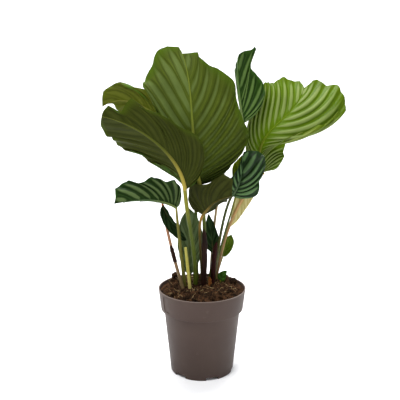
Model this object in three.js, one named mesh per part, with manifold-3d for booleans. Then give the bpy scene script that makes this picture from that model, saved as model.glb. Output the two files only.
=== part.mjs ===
// A potted prayer plant with broad, banded leaves in a round nursery pot.
// Millimetres, +Z up. The origin is the centre of the pot's base, on the surface it stands on.
// The plant is seen from -Y: "left" and "right" in the names are as seen from there.

import * as THREE from "three";
import { mergeVertices } from "three/addons/utils/BufferGeometryUtils.js";
import Module from "manifold-3d";

const wasm = await Module();
wasm.setup();

// Driving dimensions of the pot
const RIM_RADIUS = 60;
const POT_HEIGHT = 118;
const BAND_HEIGHT = 29;
const BAND_LOW_RADIUS = 56.5;
const BODY_TOP_RADIUS = 52.5;
const BASE_RADIUS = 43.5;
const WALL = 1.6;
const RIM_LIP = 1.2;
const FLOOR_UNDER = 5;
const FLOOR_THICK = 1.8;
const HUB_RADIUS = 11;
const DRAIN_RADIUS = 4;
const DRAIN_RING = 27;
const DRAIN_COUNT = 6;
const NOTCH_WIDE = 17;
const NOTCH_HIGH = 4;
const PANEL_WIDE = 12;
const PANEL_DEEP = 0.9;
const PANEL_MARGIN = 4;
const PANEL_TURN = 214;
const NOTCH_TURN = 288;
const POT_SIDES = 36;
const DRAIN_SIDES = 12;

// Driving dimensions of the soil
const GAP = 0.3;
const SOIL_EDGE = 113.5;
const SOIL_CROWN = 119;
const SOIL_SIDES = 30;
const SOIL_RINGS = 7;
const LUMP_HIGH = 1.5;
const FOOT_DEPTH = 16;
const HOLE_SLACK = 0.7;
// Clods on the soil, as x, y, height and width; the last is a hollow
const CLODS = [[-37, 28, 6, 9], [35, 34, 4, 11], [-30, 40, -2, 8]];

// Leaf blades: the sheet's thickness, the midrib that stands out under it, and the side veins.
// A vein that ends at share v of the margin leaves the midrib at share v to VEIN_LEAD of its length.
// A vein bows by a control point that lies VEIN_OUT of its way out and VEIN_ON of its way along.
// The pleats are full up to PLEAT_REACH of a vein, and fade out over the first and last PLEAT_FADE.
const SHEET = 0.8;
const RIB_TIP = 0.5;
const RIB_TAPER = 0.7;
const RIB_FLANK = 0.07;
const VEIN_LEAD = 1.4;
const VEIN_OUT = 0.55;
const VEIN_ON = 0.35;
const PLEAT_REACH = 0.75;
const PLEAT_FADE = 0.2;

// Petioles: how far one keeps to its first and last direction, and its gap to its blade
const REACH = [0.45, 0.3];
const NECK_GAP = 0.4;
const BENT_NECK_GAP = 1.4;
const SEARCH_STEP = 0.002;

const GREEN = 0x5d6b3a;
const DARK_GREEN = 0x37471b;
const BRIGHT_GREEN = 0x6b8533;
const OLIVE = 0x4a4f24;
const TAN = 0x95825b;
const PETIOLE_GREEN = 0x525c20;

// Each leaf: the midrib passes through four points; face is where the upper side looks at the base
// and at the tip. For its two halves, edge lists the margin's points as [out from the midrib, along it],
// and fold and curl turn the half towards the upper side, in degrees, at the midrib and out to the margin.
// foot is where the petiole enters the soil, lean its direction there, and stalk its radii at the foot,
// half way up and at the blade.
// reach is how far it keeps to its first and its last direction, as shares of its span, and neck its last
// direction where it meets the blade at a bend.
const LEAVES = {
  centre: {
    midrib: [[-3, -26, 265], [-11, -40, 331], [-15, -40, 386], [-25, -26, 430]],
    face: [[0.1, 1, 0], [0.1, 1, 0]],
    edge: [
      [[16, 2], [34, 11], [45, 22], [57, 36], [68, 57], [68, 69], [63, 83], [56, 107], [55, 126],
        [44, 137], [38, 143], [29, 148], [19, 159], [19, 165], [12, 167]],
      [[20, 3], [38, 25], [46, 60], [42, 92], [47, 98], [51, 107], [55, 119], [63, 136], [66, 153],
        [64, 174], [54, 181], [41, 187], [30, 194], [15, 192], [1, 182], [0, 175]],
    ],
    fold: [8, 15], curl: [-10, 10], pleats: 12, depth: 1.3, cells: 5,
    foot: [2, 28], lean: [0, -0.2, 1], stalk: [3, 2.6, 2.4], color: GREEN, stem: PETIOLE_GREEN,
  },
  front_left: {
    midrib: [[-22, -44, 262], [-37, -56, 302], [-72, -69, 336], [-119, -76, 356]],
    face: [[0, 1, 0.1], [0, 1, 0.1]],
    edge: [
      [[7, 3], [25, 15], [40, 33], [41, 51], [34, 65], [32, 81], [28, 99], [26, 112], [31, 123],
        [22, 126], [11, 128], [9, 132], [14, 143], [6, 147]],
      [[4, 23], [10, 31], [24, 47], [32, 51], [39, 58], [37, 69], [34, 77], [37, 87], [46, 98],
        [46, 111], [37, 121], [30, 128], [32, 136], [25, 144], [15, 148]],
    ],
    fold: [10, 35], curl: [5, 5], pleats: 11, depth: 1, cells: 5,
    foot: [-9, 7], lean: [0.03, -0.2, 1], stalk: [3.5, 4.1, 2.7], color: OLIVE, stem: PETIOLE_GREEN,
  },
  right: {
    midrib: [[85, 30, 273], [84, 26, 318], [113, 28, 350], [141, 54, 387]],
    face: [[0, -1, 0.3], [0, -1, 0.6]],
    edge: [
      [[8, 5], [19, 29], [24, 50], [29, 61], [39, 73], [49, 91], [53, 115], [47, 133], [40, 145],
        [32, 153], [21, 152], [8, 156], [3, 150]],
      [[7, 1], [14, -3], [25, 1], [33, 19], [29, 58], [24, 66], [26, 79], [30, 92], [37, 103],
        [48, 110], [52, 117], [53, 127], [64, 133], [59, 142], [51, 150], [42, 162], [31, 158],
        [23, 161], [15, 165], [9, 160], [5, 152]],
    ],
    fold: [0, 10], curl: [0, -20], pleats: 13, depth: 1.5, cells: 5,
    foot: [20, 30], lean: [0.13, 0, 1], reach: [0.67, 0.165], neck: [0.64, 0, 0.77],
    stalk: [2, 3.9, 2.1],
    color: BRIGHT_GREEN, stem: TAN,
  },
  back_left: {
    midrib: [[-46, 42, 335], [-72, 36, 357], [-103, 38, 370], [-137, 46, 362]],
    face: [[0, 1, 0.1], [0, 1, 0.1]],
    edge: [
      [[10, 12], [18, 41], [22, 51], [19, 66], [18, 71], [25, 77], [23, 82], [17, 95], [10, 99]],
      [[12, 10], [24, 35], [26, 60], [19, 76], [20, 86], [13, 88], [4, 89], [1, 96]],
    ],
    fold: [0, 20], curl: [10, 20], pleats: 8, depth: 1, cells: 4,
    foot: [-7, 24], lean: [-0.05, 0.05, 1], stalk: [2.6, 2.3, 2], color: GREEN, stem: PETIOLE_GREEN,
  },
  rolled: {
    midrib: [[54, 8, 341], [50, 10, 372], [47, 10, 403], [48, 9, 431]],
    face: [[0.3, -1, 0], [0.5, -0.8, 0.2]],
    edge: [
      [[8, 6], [12, 19], [14, 32], [24, 44], [24, 58], [10, 78]],
      [[7, 8], [13, 9], [26, 15], [37, 32], [39, 45], [35, 57], [23, 70], [20, 77], [20, 86], [24, 94],
        [28, 100], [24, 103], [18, 98], [7, 95]],
    ],
    fold: [-100, -8], curl: [-30, 10], pleats: 7, depth: 1, cells: 3,
    foot: [12, 36], lean: [0.045, -0.04, 1], neck: [0.45, -0.2, 0.9],
    stalk: [1.9, 1.9, 1.6], color: DARK_GREEN, stem: TAN,
  },
  low_left: {
    midrib: [[-34, -14, 232], [-59, -20, 243], [-86, -32, 246], [-112, -42, 244]],
    face: [[0, -0.8, 0.6], [0, -0.9, 0.4]],
    edge: [
      [[12, 8], [20, 25], [22, 45], [18, 65], [8, 80]],
      [[8, -1], [26, 5], [38, 12], [31, 20], [34, 34], [25, 46], [25, 55], [28, 62], [25, 70], [19, 81],
        [7, 83]],
    ],
    fold: [-110, 5], curl: [0, -20], pleats: 8, depth: 1.2, cells: 4,
    foot: [-24, 3], lean: [-0.07, -0.1, 1], reach: [0.45, 0.12], neck: [0, -0.2, 1], stalk: [2.9, 2.2, 1.5],
    color: GREEN, stem: TAN,
  },
  hanging: {
    midrib: [[-53, 8, 231], [-46, 2, 216], [-35, 1, 200], [-22, 4, 183]],
    face: [[-0.5, -0.8, 0.3], [-0.3, -0.8, 0.3]],
    edge: [
      [[6, 8], [8, 26], [6, 44], [2, 57]],
      [[7, 8], [10, 24], [9, 42], [4, 55]],
    ],
    fold: [30, 30], curl: [10, 10], pleats: 5, depth: 0.6, cells: 2,
    foot: [-26.5, -6], lean: [-0.34, 0.15, 1], reach: [0.6, 0.12], stalk: [2.5, 1.4, 1.4],
    color: DARK_GREEN, stem: TAN,
  },
  low_centre: {
    midrib: [[1, -30, 226], [10, -38, 239], [19, -46, 248], [37, -52, 256]],
    face: [[0.3, 1, 0], [0.2, 1, 0]],
    edge: [
      [[12, 6], [20, 20], [20, 35], [10, 48]],
      [[4, 1], [10, -3], [20, -3], [29, 2], [36, 14], [35, 21], [26, 30], [25, 36], [29, 52], [19, 61],
        [9, 57]],
    ],
    fold: [70, 0], curl: [0, 10], pleats: 6, depth: 0.8, cells: 3,
    foot: [0, 20], lean: [0, -0.2, 1], reach: [0.5, 0.12], stalk: [2.2, 2.4, 1.4],
    color: OLIVE, stem: TAN,
  },
  low_right: {
    midrib: [[40, -2, 246], [50, -6, 268], [53, -6, 288], [55, 0, 305]],
    face: [[-0.35, -1, 0.2], [-0.2, -1, 0.3]],
    edge: [
      [[4, 0], [10, -3], [19, -5], [17, 9], [13, 22], [8, 35], [3, 48]],
      [[14, 6], [27, 15], [28, 22], [25, 30], [28, 35], [30, 44], [29, 56], [25, 65], [18, 67], [8, 66]],
    ],
    fold: [20, 0], curl: [10, -20], pleats: 7, depth: 1.1, cells: 3,
    foot: [17, 24], lean: [0.08, -0.1, 1], reach: [0.45, 0.12], stalk: [2.3, 2, 1.7],
    color: DARK_GREEN, stem: PETIOLE_GREEN,
  },
  slim: {
    midrib: [[46, 5, 250], [48, 5, 266], [52, 5, 284], [58, 5, 303]],
    face: [[0, 1, 0], [0.1, 1, 0.2]],
    edge: [
      [[4, 7], [8, 20], [8, 36], [4, 49]],
      [[2, 7], [6, 14], [11, 32], [8, 41], [4, 49]],
    ],
    fold: [0, 0], curl: [8, 8], pleats: 6, depth: 0.7, cells: 2,
    foot: [15.5, 30], lean: [0.17, -0.05, 1], reach: [0.45, 0.1], stalk: [1.6, 1.4, 1.3],
    color: OLIVE, stem: PETIOLE_GREEN,
  },
  inner: {
    midrib: [[15, 23, 160], [14, 22, 179], [12, 22, 198], [9, 23, 216]],
    face: [[0, -1, 0.2], [0, -1, 0.2]],
    edge: [
      [[8, 8], [11, 20], [9, 36], [3, 52]],
      [[8, 8], [10, 20], [7, 36], [2, 52]],
    ],
    fold: [10, 10], curl: [0, 0], pleats: 5, depth: 0.6, cells: 2,
    foot: [9, 25], lean: [0.1, -0.1, 1], stalk: [1.6, 1.4, 1.3], color: DARK_GREEN, stem: PETIOLE_GREEN,
  },
  upright: {
    midrib: [[-17, 14, 131], [-18, 13, 160], [-18, 12, 193], [-18, 12, 227]],
    face: [[0, 1, 0], [0, 1, 0.1]],
    edge: [
      [[9, 8], [18, 30], [20, 55], [12, 82]],
      [[9, 8], [15, 30], [16, 55], [11, 80]],
    ],
    fold: [10, 10], curl: [10, 10], pleats: 7, depth: 0.7, cells: 2,
    foot: [-15, 16], lean: [-0.1, -0.12, 1], stalk: [1.9, 1.7, 1.6], color: GREEN, stem: PETIOLE_GREEN,
  },
  small_round: {
    midrib: [[30, 40, 150], [34, 40, 161], [38, 40, 171], [42, 41, 182]],
    face: [[0, -1, 0.2], [0, -1, 0.2]],
    edge: [
      [[5, 4], [8, 13], [6, 27]],
      [[4, 1], [7.5, 9], [8.5, 18], [6.5, 27]],
    ],
    fold: [10, 10], curl: [0, 0], pleats: 4, depth: 0.4, cells: 2,
    foot: [21, 37], lean: [0.15, 0.05, 1], stalk: [1.2, 1.1, 1], color: BRIGHT_GREEN, stem: PETIOLE_GREEN,
  },
  sprout: {
    midrib: [[26, 17, 122], [28, 16, 127], [31, 15, 132], [35, 14, 137]],
    face: [[-0.3, -0.8, 0.5], [-0.2, -0.8, 0.5]],
    edge: [
      [[5, 1], [7, 6], [4, 13]],
      [[5, 1], [7, 6], [4, 13]],
    ],
    fold: [15, 15], curl: [0, 0], pleats: 3, depth: 0.2, cells: 2,
    foot: [26, 17.5], lean: [0, -0.02, 1], reach: [0.45, 0.1], stalk: [1.1, 1, 0.9],
    color: BRIGHT_GREEN, stem: PETIOLE_GREEN,
  },
};

// Old sheaths round the stems' feet: thin shells, rolled away from the front, that end in a point.
// The first point of spine is the foot in the soil; wide is the flat width of one half.
const SHEATHS = {
  sheath_dark: {
    spine: [[1.5, 2, 113], [3, -5, 144], [3.5, -12, 174], [2.5, -19, 206]],
    wide: 8, curl: 130, color: 0x1d130f,
  },
  sheath_maroon: {
    spine: [[14, 13, 113], [15.5, 10, 138], [17, 6, 160], [20, 3, 182]],
    wide: 7.5, curl: 130, color: 0x2f1b18,
  },
  sheath_base: {
    spine: [[11, 0, 114], [11, 0, 120], [11, 0, 126], [10, 0, 133]],
    wide: 3.8, curl: 110, color: 0x8a5a2a,
  },
};
// The brown sheath on the hanging leaf's petiole, as heights along that petiole
const WRAP = { from: 154, to: 177, wide: 6, curl: 135, color: 0x2f1e16 };
// The thin wings of the right leaf's petiole: the heights they span, and the edges of the left and the
// right one
const WINGS = {
  from: 196, to: 261,
  edge: [
    [[2.5, 14], [5.5, 27], [9, 37], [11, 47], [9, 60], [3, 74]],
    [[3, 2], [7.5, 11], [9.5, 20], [11, 30], [12, 47], [10, 60], [3, 74]],
  ],
};

// The cut stub of an old petiole: foot, then its ragged top
const STUB = { foot: [-16.3, -12, 119], top: [-22.2, -13, 178], radii: [2.5, 2.8, 1.9], color: 0xa29a4e };

const vector = (p) => new THREE.Vector3(...p);
const radians = THREE.MathUtils.degToRad;

function material(color, roughness = 0.5) {
  return new THREE.MeshStandardMaterial({ color, roughness, metalness: 0 });
}

// The cubic curve that passes the four points at even steps
function through(points) {
  const [a, b, c, d] = points.map(vector);
  const mix = (p, q, r, s) => new THREE.Vector3()
    .addScaledVector(a, p / 6).addScaledVector(b, q / 6).addScaledVector(c, r / 6).addScaledVector(d, s / 6);
  return new THREE.CubicBezierCurve3(a, mix(-5, 18, -9, 2), mix(2, -9, 18, -5), d);
}

// Triangles of a closed shell, from quads whose corners may coincide
function shellGeometry(quads) {
  const corners = [];
  const add = (a, b, c) => {
    if (a !== b && b !== c && c !== a) corners.push(a, b, c);
  };
  for (const [a, b, c, d] of quads) {
    add(a, b, c);
    add(a, c, d);
  }
  return mergeVertices(new THREE.BufferGeometry().setFromPoints(corners), 1e-3);
}

// The bent surface of a blade: a point and its upper side's direction, from a half (-1 or 1),
// the distance out from the midrib and the distance along it
function bladeSurface(leaf) {
  const curve = through(leaf.midrib);
  const length = curve.getLength();
  const faces = leaf.face.map(vector);
  return { curve, length, at(half, out, along) {
    const step = THREE.MathUtils.clamp(along / length, 0, 1);
    const tangent = curve.getTangentAt(step);
    const point = curve.getPointAt(step).addScaledVector(tangent, along - step * length);
    const up = faces[0].clone().lerp(faces[1], step);
    up.addScaledVector(tangent, -up.dot(tangent)).normalize();
    const side = new THREE.Vector3().crossVectors(tangent, up).multiplyScalar(half);
    const k = half < 0 ? 0 : 1;
    const widest = Math.max(...leaf.edge[k].map((p) => p[0]));
    const start = radians(leaf.fold[k]);
    const bend = radians(leaf.curl[k]) / widest + 1e-9;
    const turn = start + bend * out;
    point.addScaledVector(side, (Math.sin(turn) - Math.sin(start)) / bend);
    point.addScaledVector(up, (Math.cos(start) - Math.cos(turn)) / bend);
    const normal = up.multiplyScalar(Math.cos(turn)).addScaledVector(side, -Math.sin(turn));
    return { point, normal };
  } };
}

// A blade as a thin closed shell. Its rows follow the side veins, which leave the midrib and sweep
// forward to the margin; every second row is a ridge. The midrib stands out under the sheet.
function bladeGeometry(leaf) {
  const surface = bladeSurface(leaf);
  const rows = 2 * leaf.pleats;
  const columns = [0, RIB_FLANK];
  for (let j = 1; j <= leaf.cells; j++) columns.push(THREE.MathUtils.lerp(RIB_FLANK, 1, j / leaf.cells));
  const ribFoot = leaf.stalk ? leaf.stalk[2] : RIB_TIP;
  const quads = [];
  const base = sheetPoints(surface.at(1, 0, 0), ribFoot);
  const tip = sheetPoints(surface.at(1, 0, surface.length), RIB_TIP);
  const spine = [];
  for (let i = 1; i < rows; i++) {
    const v = i / rows;
    const rib = THREE.MathUtils.lerp(ribFoot, RIB_TIP, v ** RIB_TAPER);
    spine[i] = sheetPoints(surface.at(1, 0, surface.length * v ** VEIN_LEAD), rib);
  }
  for (const half of [-1, 1]) {
    const edge = leaf.edge[half < 0 ? 0 : 1];
    const margin = new THREE.SplineCurve(
      [[0, 0], ...edge, [0, surface.length]].map((p) => new THREE.Vector2(...p)));
    const grid = [];
    for (let i = 0; i <= rows; i++) {
      const v = i / rows;
      const end = margin.getPointAt(v);
      const start = surface.length * v ** VEIN_LEAD;
      const vein = new THREE.QuadraticBezierCurve(
        new THREE.Vector2(0, start),
        new THREE.Vector2(end.x * VEIN_OUT, THREE.MathUtils.lerp(start, end.y, VEIN_ON)),
        end);
      const fade = Math.min(1, v / PLEAT_FADE, (1 - v) / PLEAT_FADE);
      const height = (i % 2 ? 1 : -1) * leaf.depth * fade;
      grid.push(columns.map((u, j) => {
        if (i === 0) return base;
        if (i === rows) return tip;
        if (j === 0) return spine[i];
        const flat = vein.getPoint(u);
        const place = surface.at(half, flat.x, flat.y);
        place.point.addScaledVector(place.normal, height * Math.sin(Math.PI * Math.min(u, PLEAT_REACH)));
        return sheetPoints(place, SHEET / 2);
      }));
    }
    for (let i = 0; i < rows; i++) {
      for (let j = 0; j + 1 < columns.length; j++) {
        const loop = [grid[i][j], grid[i][j + 1], grid[i + 1][j + 1], grid[i + 1][j]];
        const upper = loop.map((p) => p.upper);
        const lower = loop.map((p) => p.lower);
        quads.push(half > 0 ? upper : flipped(upper), half > 0 ? flipped(lower) : lower);
      }
      const [near, far] = [grid[i].at(-1), grid[i + 1].at(-1)];
      const rim = [near.upper, near.lower, far.lower, far.upper];
      quads.push(half > 0 ? rim : flipped(rim));
    }
  }
  return shellGeometry(quads);
}

// The same quad seen from its other side, with the same diagonal
function flipped([a, b, c, d]) {
  return [a, d, c, b];
}

function sheetPoints({ point, normal }, below) {
  return {
    upper: point.clone().addScaledVector(normal, SHEET / 2),
    lower: point.clone().addScaledVector(normal, -below),
  };
}

// The radius at t along a stalk, on the parabola through those at its foot, middle and end
function stalkRadius([foot, middle, end], t) {
  return foot * (1 - t) * (1 - 2 * t) + 4 * middle * t * (1 - t) + end * t * (2 * t - 1);
}

// A tapering stalk along a curve
function stalkGeometry(curve, radii, steps = 8, sides = 7) {
  const geometry = new THREE.CylinderGeometry(1, 1, 1, sides, steps);
  geometry.deleteAttribute("normal");
  geometry.deleteAttribute("uv");
  const points = geometry.attributes.position;
  const local = new THREE.Vector3();
  for (let i = 0; i < points.count; i++) {
    local.fromBufferAttribute(points, i);
    const t = local.y + 0.5;
    const radius = stalkRadius(radii, t);
    const tangent = curve.getTangentAt(t);
    const across = new THREE.Vector3(0, 1, 0).cross(tangent).negate().normalize();
    const deep = new THREE.Vector3().crossVectors(across, tangent);
    const point = curve.getPointAt(t)
      .addScaledVector(across, local.x * radius).addScaledVector(deep, local.z * radius);
    points.setXYZ(i, point.x, point.y, point.z);
  }
  return mergeVertices(geometry, 1e-4);
}

// A petiole's curve: up out of the soil along its lean, and into the line of its neck or the midrib
function petioleCurve(leaf) {
  const midrib = through(leaf.midrib);
  const lean = vector(leaf.lean).normalize();
  const entry = new THREE.Vector3(leaf.foot[0], leaf.foot[1], SOIL_CROWN);
  const foot = entry.clone().addScaledVector(lean, -FOOT_DEPTH);
  const line = leaf.neck ? vector(leaf.neck).normalize() : midrib.getTangent(0);
  const end = midrib.getPoint(0).addScaledVector(line, leaf.neck ? -BENT_NECK_GAP : -NECK_GAP);
  const [rise, bow] = leaf.reach ?? REACH;
  const span = foot.distanceTo(end);
  return new THREE.CubicBezierCurve3(
    foot,
    foot.clone().addScaledVector(lean, rise * span),
    end.clone().addScaledVector(line, -bow * span),
    end);
}

// A sheath is a plain leaf, broad at its foot and pointed at its top, whose halves roll towards +Y
function sheathLeaf(spine, wide, curl) {
  const height = through(spine).getLength();
  const outline = [[0.75, 0.01], [1, 0.25], [0.8, 0.6], [0.35, 0.9]];
  const edge = outline.map(([out, on]) => [out * wide, on * height]);
  return {
    midrib: spine, face: [[0, 1, 0], [0, 1, 0]], edge: [edge, edge], fold: [0, 0], curl: [curl, curl],
    pleats: 4, depth: 0, cells: 2,
  };
}

function solidOf(geometry) {
  const merged = geometry.index ? geometry : mergeVertices(geometry, 1e-4);
  return new wasm.Manifold(new wasm.Mesh({
    numProp: 3,
    vertProperties: new Float32Array(merged.attributes.position.array),
    triVerts: new Uint32Array(merged.index.array),
  }));
}

function geometryOf(solid) {
  const mesh = solid.getMesh();
  const geometry = new THREE.BufferGeometry();
  geometry.setAttribute("position", new THREE.BufferAttribute(mesh.vertProperties, 3));
  geometry.setIndex(new THREE.BufferAttribute(mesh.triVerts, 1));
  return geometry;
}

// A solid from a lathe profile of [radius, height] that starts and ends on the axis or closes on itself
function turned(profile, sides) {
  const geometry = new THREE.LatheGeometry(profile.map((p) => new THREE.Vector2(...p)), sides);
  geometry.deleteAttribute("normal");
  geometry.deleteAttribute("uv");
  geometry.rotateX(Math.PI / 2);
  return mergeVertices(geometry, 1e-4);
}

function cutter(geometry, x, y, z, turn = 0) {
  geometry.deleteAttribute("normal");
  geometry.deleteAttribute("uv");
  return solidOf(mergeVertices(geometry.translate(x, y, z).rotateZ(turn), 1e-4));
}

const BAND_LOW = POT_HEIGHT - BAND_HEIGHT;
const FLOOR_TOP = FLOOR_UNDER + FLOOR_THICK;

// Outer radius of the pot's lower body at a height
function bodyRadius(z) {
  return THREE.MathUtils.lerp(BASE_RADIUS, BODY_TOP_RADIUS, z / BAND_LOW);
}

// The pot: a tapered body, a wider band round its top, a raised floor with a hub and drain holes,
// notches between the feet, and one plain recess in the band
function potGeometry() {
  const step = BAND_LOW + WALL;
  const wall = [
    [HUB_RADIUS, 0], [HUB_RADIUS, FLOOR_UNDER], [bodyRadius(FLOOR_UNDER) - WALL, FLOOR_UNDER],
    [BASE_RADIUS - WALL, 0], [BASE_RADIUS, 0], [BODY_TOP_RADIUS, BAND_LOW], [BAND_LOW_RADIUS, BAND_LOW],
    [RIM_RADIUS, POT_HEIGHT - RIM_LIP], [RIM_RADIUS, POT_HEIGHT], [RIM_RADIUS - WALL, POT_HEIGHT],
    [BAND_LOW_RADIUS - WALL, step], [BODY_TOP_RADIUS - WALL, step],
    [bodyRadius(FLOOR_TOP) - WALL, FLOOR_TOP],
  ];
  let pot = solidOf(turned([[0, 0], ...wall, [0, FLOOR_TOP]], POT_SIDES));
  const rounds = Array.from({ length: DRAIN_COUNT }, (_, i) => i * 2 * Math.PI / DRAIN_COUNT);
  for (const turn of rounds) {
    const hole = new THREE.CylinderGeometry(DRAIN_RADIUS, DRAIN_RADIUS, 4 * FLOOR_THICK, DRAIN_SIDES);
    hole.rotateX(Math.PI / 2);
    pot = pot.subtract(cutter(hole, DRAIN_RING, 0, FLOOR_UNDER + FLOOR_THICK / 2, turn));
    const notch = new THREE.BoxGeometry(5 * WALL, NOTCH_WIDE, 2 * NOTCH_HIGH);
    pot = pot.subtract(cutter(notch, BASE_RADIUS, 0, 0, turn + radians(NOTCH_TURN)));
  }
  const panel = new THREE.BoxGeometry(4 * PANEL_DEEP, PANEL_WIDE, BAND_HEIGHT - 2 * PANEL_MARGIN);
  panel.rotateY(Math.atan2(RIM_RADIUS - BAND_LOW_RADIUS, BAND_HEIGHT));
  const middle = (RIM_RADIUS + BAND_LOW_RADIUS) / 2 + PANEL_DEEP;
  pot = pot.subtract(cutter(panel, middle, 0, POT_HEIGHT - BAND_HEIGHT / 2, radians(PANEL_TURN)));
  return geometryOf(pot);
}

// Height of the lumpy peat at a place: a low crown, with small lumps and a few clods
function soilHeight(x, y) {
  const r = Math.hypot(x, y) / (RIM_RADIUS - WALL);
  let height = THREE.MathUtils.lerp(SOIL_CROWN, SOIL_EDGE, r ** 3);
  const ripple = Math.sin(0.37 * x + 1.3 * Math.sin(0.21 * y)) * Math.sin(0.41 * y + 0.7);
  height += LUMP_HIGH * (1 - 0.6 * r) * ripple;
  for (const [cx, cy, high, wide] of CLODS) {
    height += high * Math.exp(-((x - cx) ** 2 + (y - cy) ** 2) / wide ** 2);
  }
  return height;
}

// The soil fills the pot, a gap clear of its wall and floor, with a plain hole for each stem
function soilGeometry(holes) {
  const step = BAND_LOW + WALL + GAP;
  const inner = (z) => bodyRadius(z) - WALL - GAP;
  const bandInner = (z) => THREE.MathUtils.lerp(
    BAND_LOW_RADIUS - WALL, RIM_RADIUS - WALL, (z - step) / (POT_HEIGHT - step)) - 2 * GAP;
  const profile = [[0, FLOOR_TOP + GAP], [inner(FLOOR_TOP), FLOOR_TOP + GAP], [inner(BAND_LOW), step],
    [bandInner(step), step], [bandInner(SOIL_EDGE), SOIL_EDGE]];
  const edge = bandInner(SOIL_EDGE);
  for (let k = SOIL_RINGS - 1; k >= 0; k--) profile.push([edge * k / SOIL_RINGS, SOIL_EDGE]);
  const geometry = turned(profile, SOIL_SIDES);
  const points = geometry.attributes.position;
  for (let i = 0; i < points.count; i++) {
    const [x, y, z] = [points.getX(i), points.getY(i), points.getZ(i)];
    if (z > SOIL_EDGE - GAP && Math.hypot(x, y) < edge - 1) points.setZ(i, soilHeight(x, y));
  }
  let soil = solidOf(geometry);
  for (const hole of holes) soil = soil.subtract(hole);
  return geometryOf(soil);
}

// A plain hole in the soil, from just under a foot up along the line that the stem or sheath takes
function bore(foot, line, radius) {
  const axis = new THREE.LineCurve3(
    foot.clone().addScaledVector(line, -GAP), foot.clone().addScaledVector(line, 2 * FOOT_DEPTH));
  return solidOf(stalkGeometry(axis, [radius, radius, radius], 1));
}

function stemHole(curve, radii) {
  const widest = Math.max(radii[0], THREE.MathUtils.lerp(radii[0], radii[1], 0.4));
  return bore(curve.getPoint(0), curve.getTangent(0), widest + HOLE_SLACK);
}

const root = new THREE.Group();
const holes = [];

function place(name, geometry, color, roughness) {
  const mesh = new THREE.Mesh(geometry, material(color, roughness));
  mesh.name = name;
  root.add(mesh);
}

// Four points of a curve at even steps between two heights, moved on by an offset along Y
function pointsBetween(curve, from, to, offset = 0) {
  return [0, 1, 2, 3].map((k) => {
    const height = THREE.MathUtils.lerp(from, to, k / 3);
    let t = 0;
    while (curve.getPoint(t).z < height) t += SEARCH_STEP;
    const point = curve.getPoint(t);
    return [point.x, point.y + offset, point.z];
  });
}

// The right leaf's petiole with its wings, which face -Y
function wingedStalk(curve, radii) {
  const wings = {
    midrib: pointsBetween(curve, WINGS.from, WINGS.to), face: [[0, -1, 0.1], [0, -1, 0.3]],
    edge: WINGS.edge, fold: [0, 0], curl: [0, 0],
    pleats: 5, depth: 0, cells: 2,
  };
  return geometryOf(solidOf(stalkGeometry(curve, radii)).add(solidOf(bladeGeometry(wings))));
}

for (const [name, leaf] of Object.entries(LEAVES)) {
  place(`${name}_blade`, bladeGeometry(leaf), leaf.color, 0.45);
  const curve = petioleCurve(leaf);
  const stalk = name === "right" ? wingedStalk : stalkGeometry;
  place(`${name}_petiole`, stalk(curve, leaf.stalk), leaf.stem, 0.5);
  holes.push(stemHole(curve, leaf.stalk));
}

for (const [name, { spine, wide, curl, color }] of Object.entries(SHEATHS)) {
  place(name, bladeGeometry(sheathLeaf(spine, wide, curl)), color, 0.7);
  const radius = wide / radians(curl);
  const middle = vector(spine[0]).add(new THREE.Vector3(0, radius, 0));
  holes.push(bore(middle, through(spine).getTangent(0), radius + SHEET + HOLE_SLACK));
}

const wrapRadius = WRAP.wide / radians(WRAP.curl);
const wrapSpine = pointsBetween(petioleCurve(LEAVES.hanging), WRAP.from, WRAP.to, -wrapRadius);
place("sheath_wrap", bladeGeometry(sheathLeaf(wrapSpine, WRAP.wide, WRAP.curl)), WRAP.color, 0.7);

const stubLine = vector(STUB.top).sub(vector(STUB.foot)).normalize();
const stubCurve = new THREE.LineCurve3(
  vector(STUB.foot).addScaledVector(stubLine, -FOOT_DEPTH), vector(STUB.top));
place("cut_stub", stalkGeometry(stubCurve, STUB.radii, 6), STUB.color, 0.6);
holes.push(stemHole(stubCurve, STUB.radii));

place("soil", soilGeometry(holes), 0x2c1e14, 0.95);
place("pot", potGeometry(), 0x5d4f4a, 0.5);

export default root;
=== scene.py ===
"""A potted prayer plant: banded, pleated blades on petioles, old sheaths, peat and a nursery pot.

Tables are in millimetres, meshes in metres. The plant is seen from -Y, and left and right in the
names are as seen from there. Each blade, petiole and sheath is grown by a geometry tree.
"""

import math

import bmesh
import bpy
from mathutils import Matrix, Vector


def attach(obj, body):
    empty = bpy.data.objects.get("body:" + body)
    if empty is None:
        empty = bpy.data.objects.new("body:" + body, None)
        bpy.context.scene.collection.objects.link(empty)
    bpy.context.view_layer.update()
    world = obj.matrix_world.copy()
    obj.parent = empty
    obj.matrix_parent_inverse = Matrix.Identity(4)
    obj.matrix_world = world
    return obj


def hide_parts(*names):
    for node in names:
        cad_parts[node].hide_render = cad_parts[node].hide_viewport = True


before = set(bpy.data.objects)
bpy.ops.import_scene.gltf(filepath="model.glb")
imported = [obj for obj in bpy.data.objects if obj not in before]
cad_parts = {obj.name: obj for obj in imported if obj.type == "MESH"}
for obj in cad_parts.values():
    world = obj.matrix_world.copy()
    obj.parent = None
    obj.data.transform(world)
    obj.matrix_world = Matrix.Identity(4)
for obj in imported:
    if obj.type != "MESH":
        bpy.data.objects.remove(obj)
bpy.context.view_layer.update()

MM = 0.001


def linked(name, data):
    """A new object in the scene."""
    made = bpy.data.objects.new(name, data)
    bpy.context.scene.collection.objects.link(made)
    return made


def mesh_of(name, points, edges, faces, **marks):
    """A mesh in metres, with each mark's numbers on its points under the mark's name."""
    mesh = bpy.data.meshes.new(name)
    mesh.from_pydata(points, edges, faces)
    for key, values in marks.items():
        mesh.attributes.new(key, "FLOAT", "POINT").data.foreach_set("value", values)
    return mesh


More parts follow.
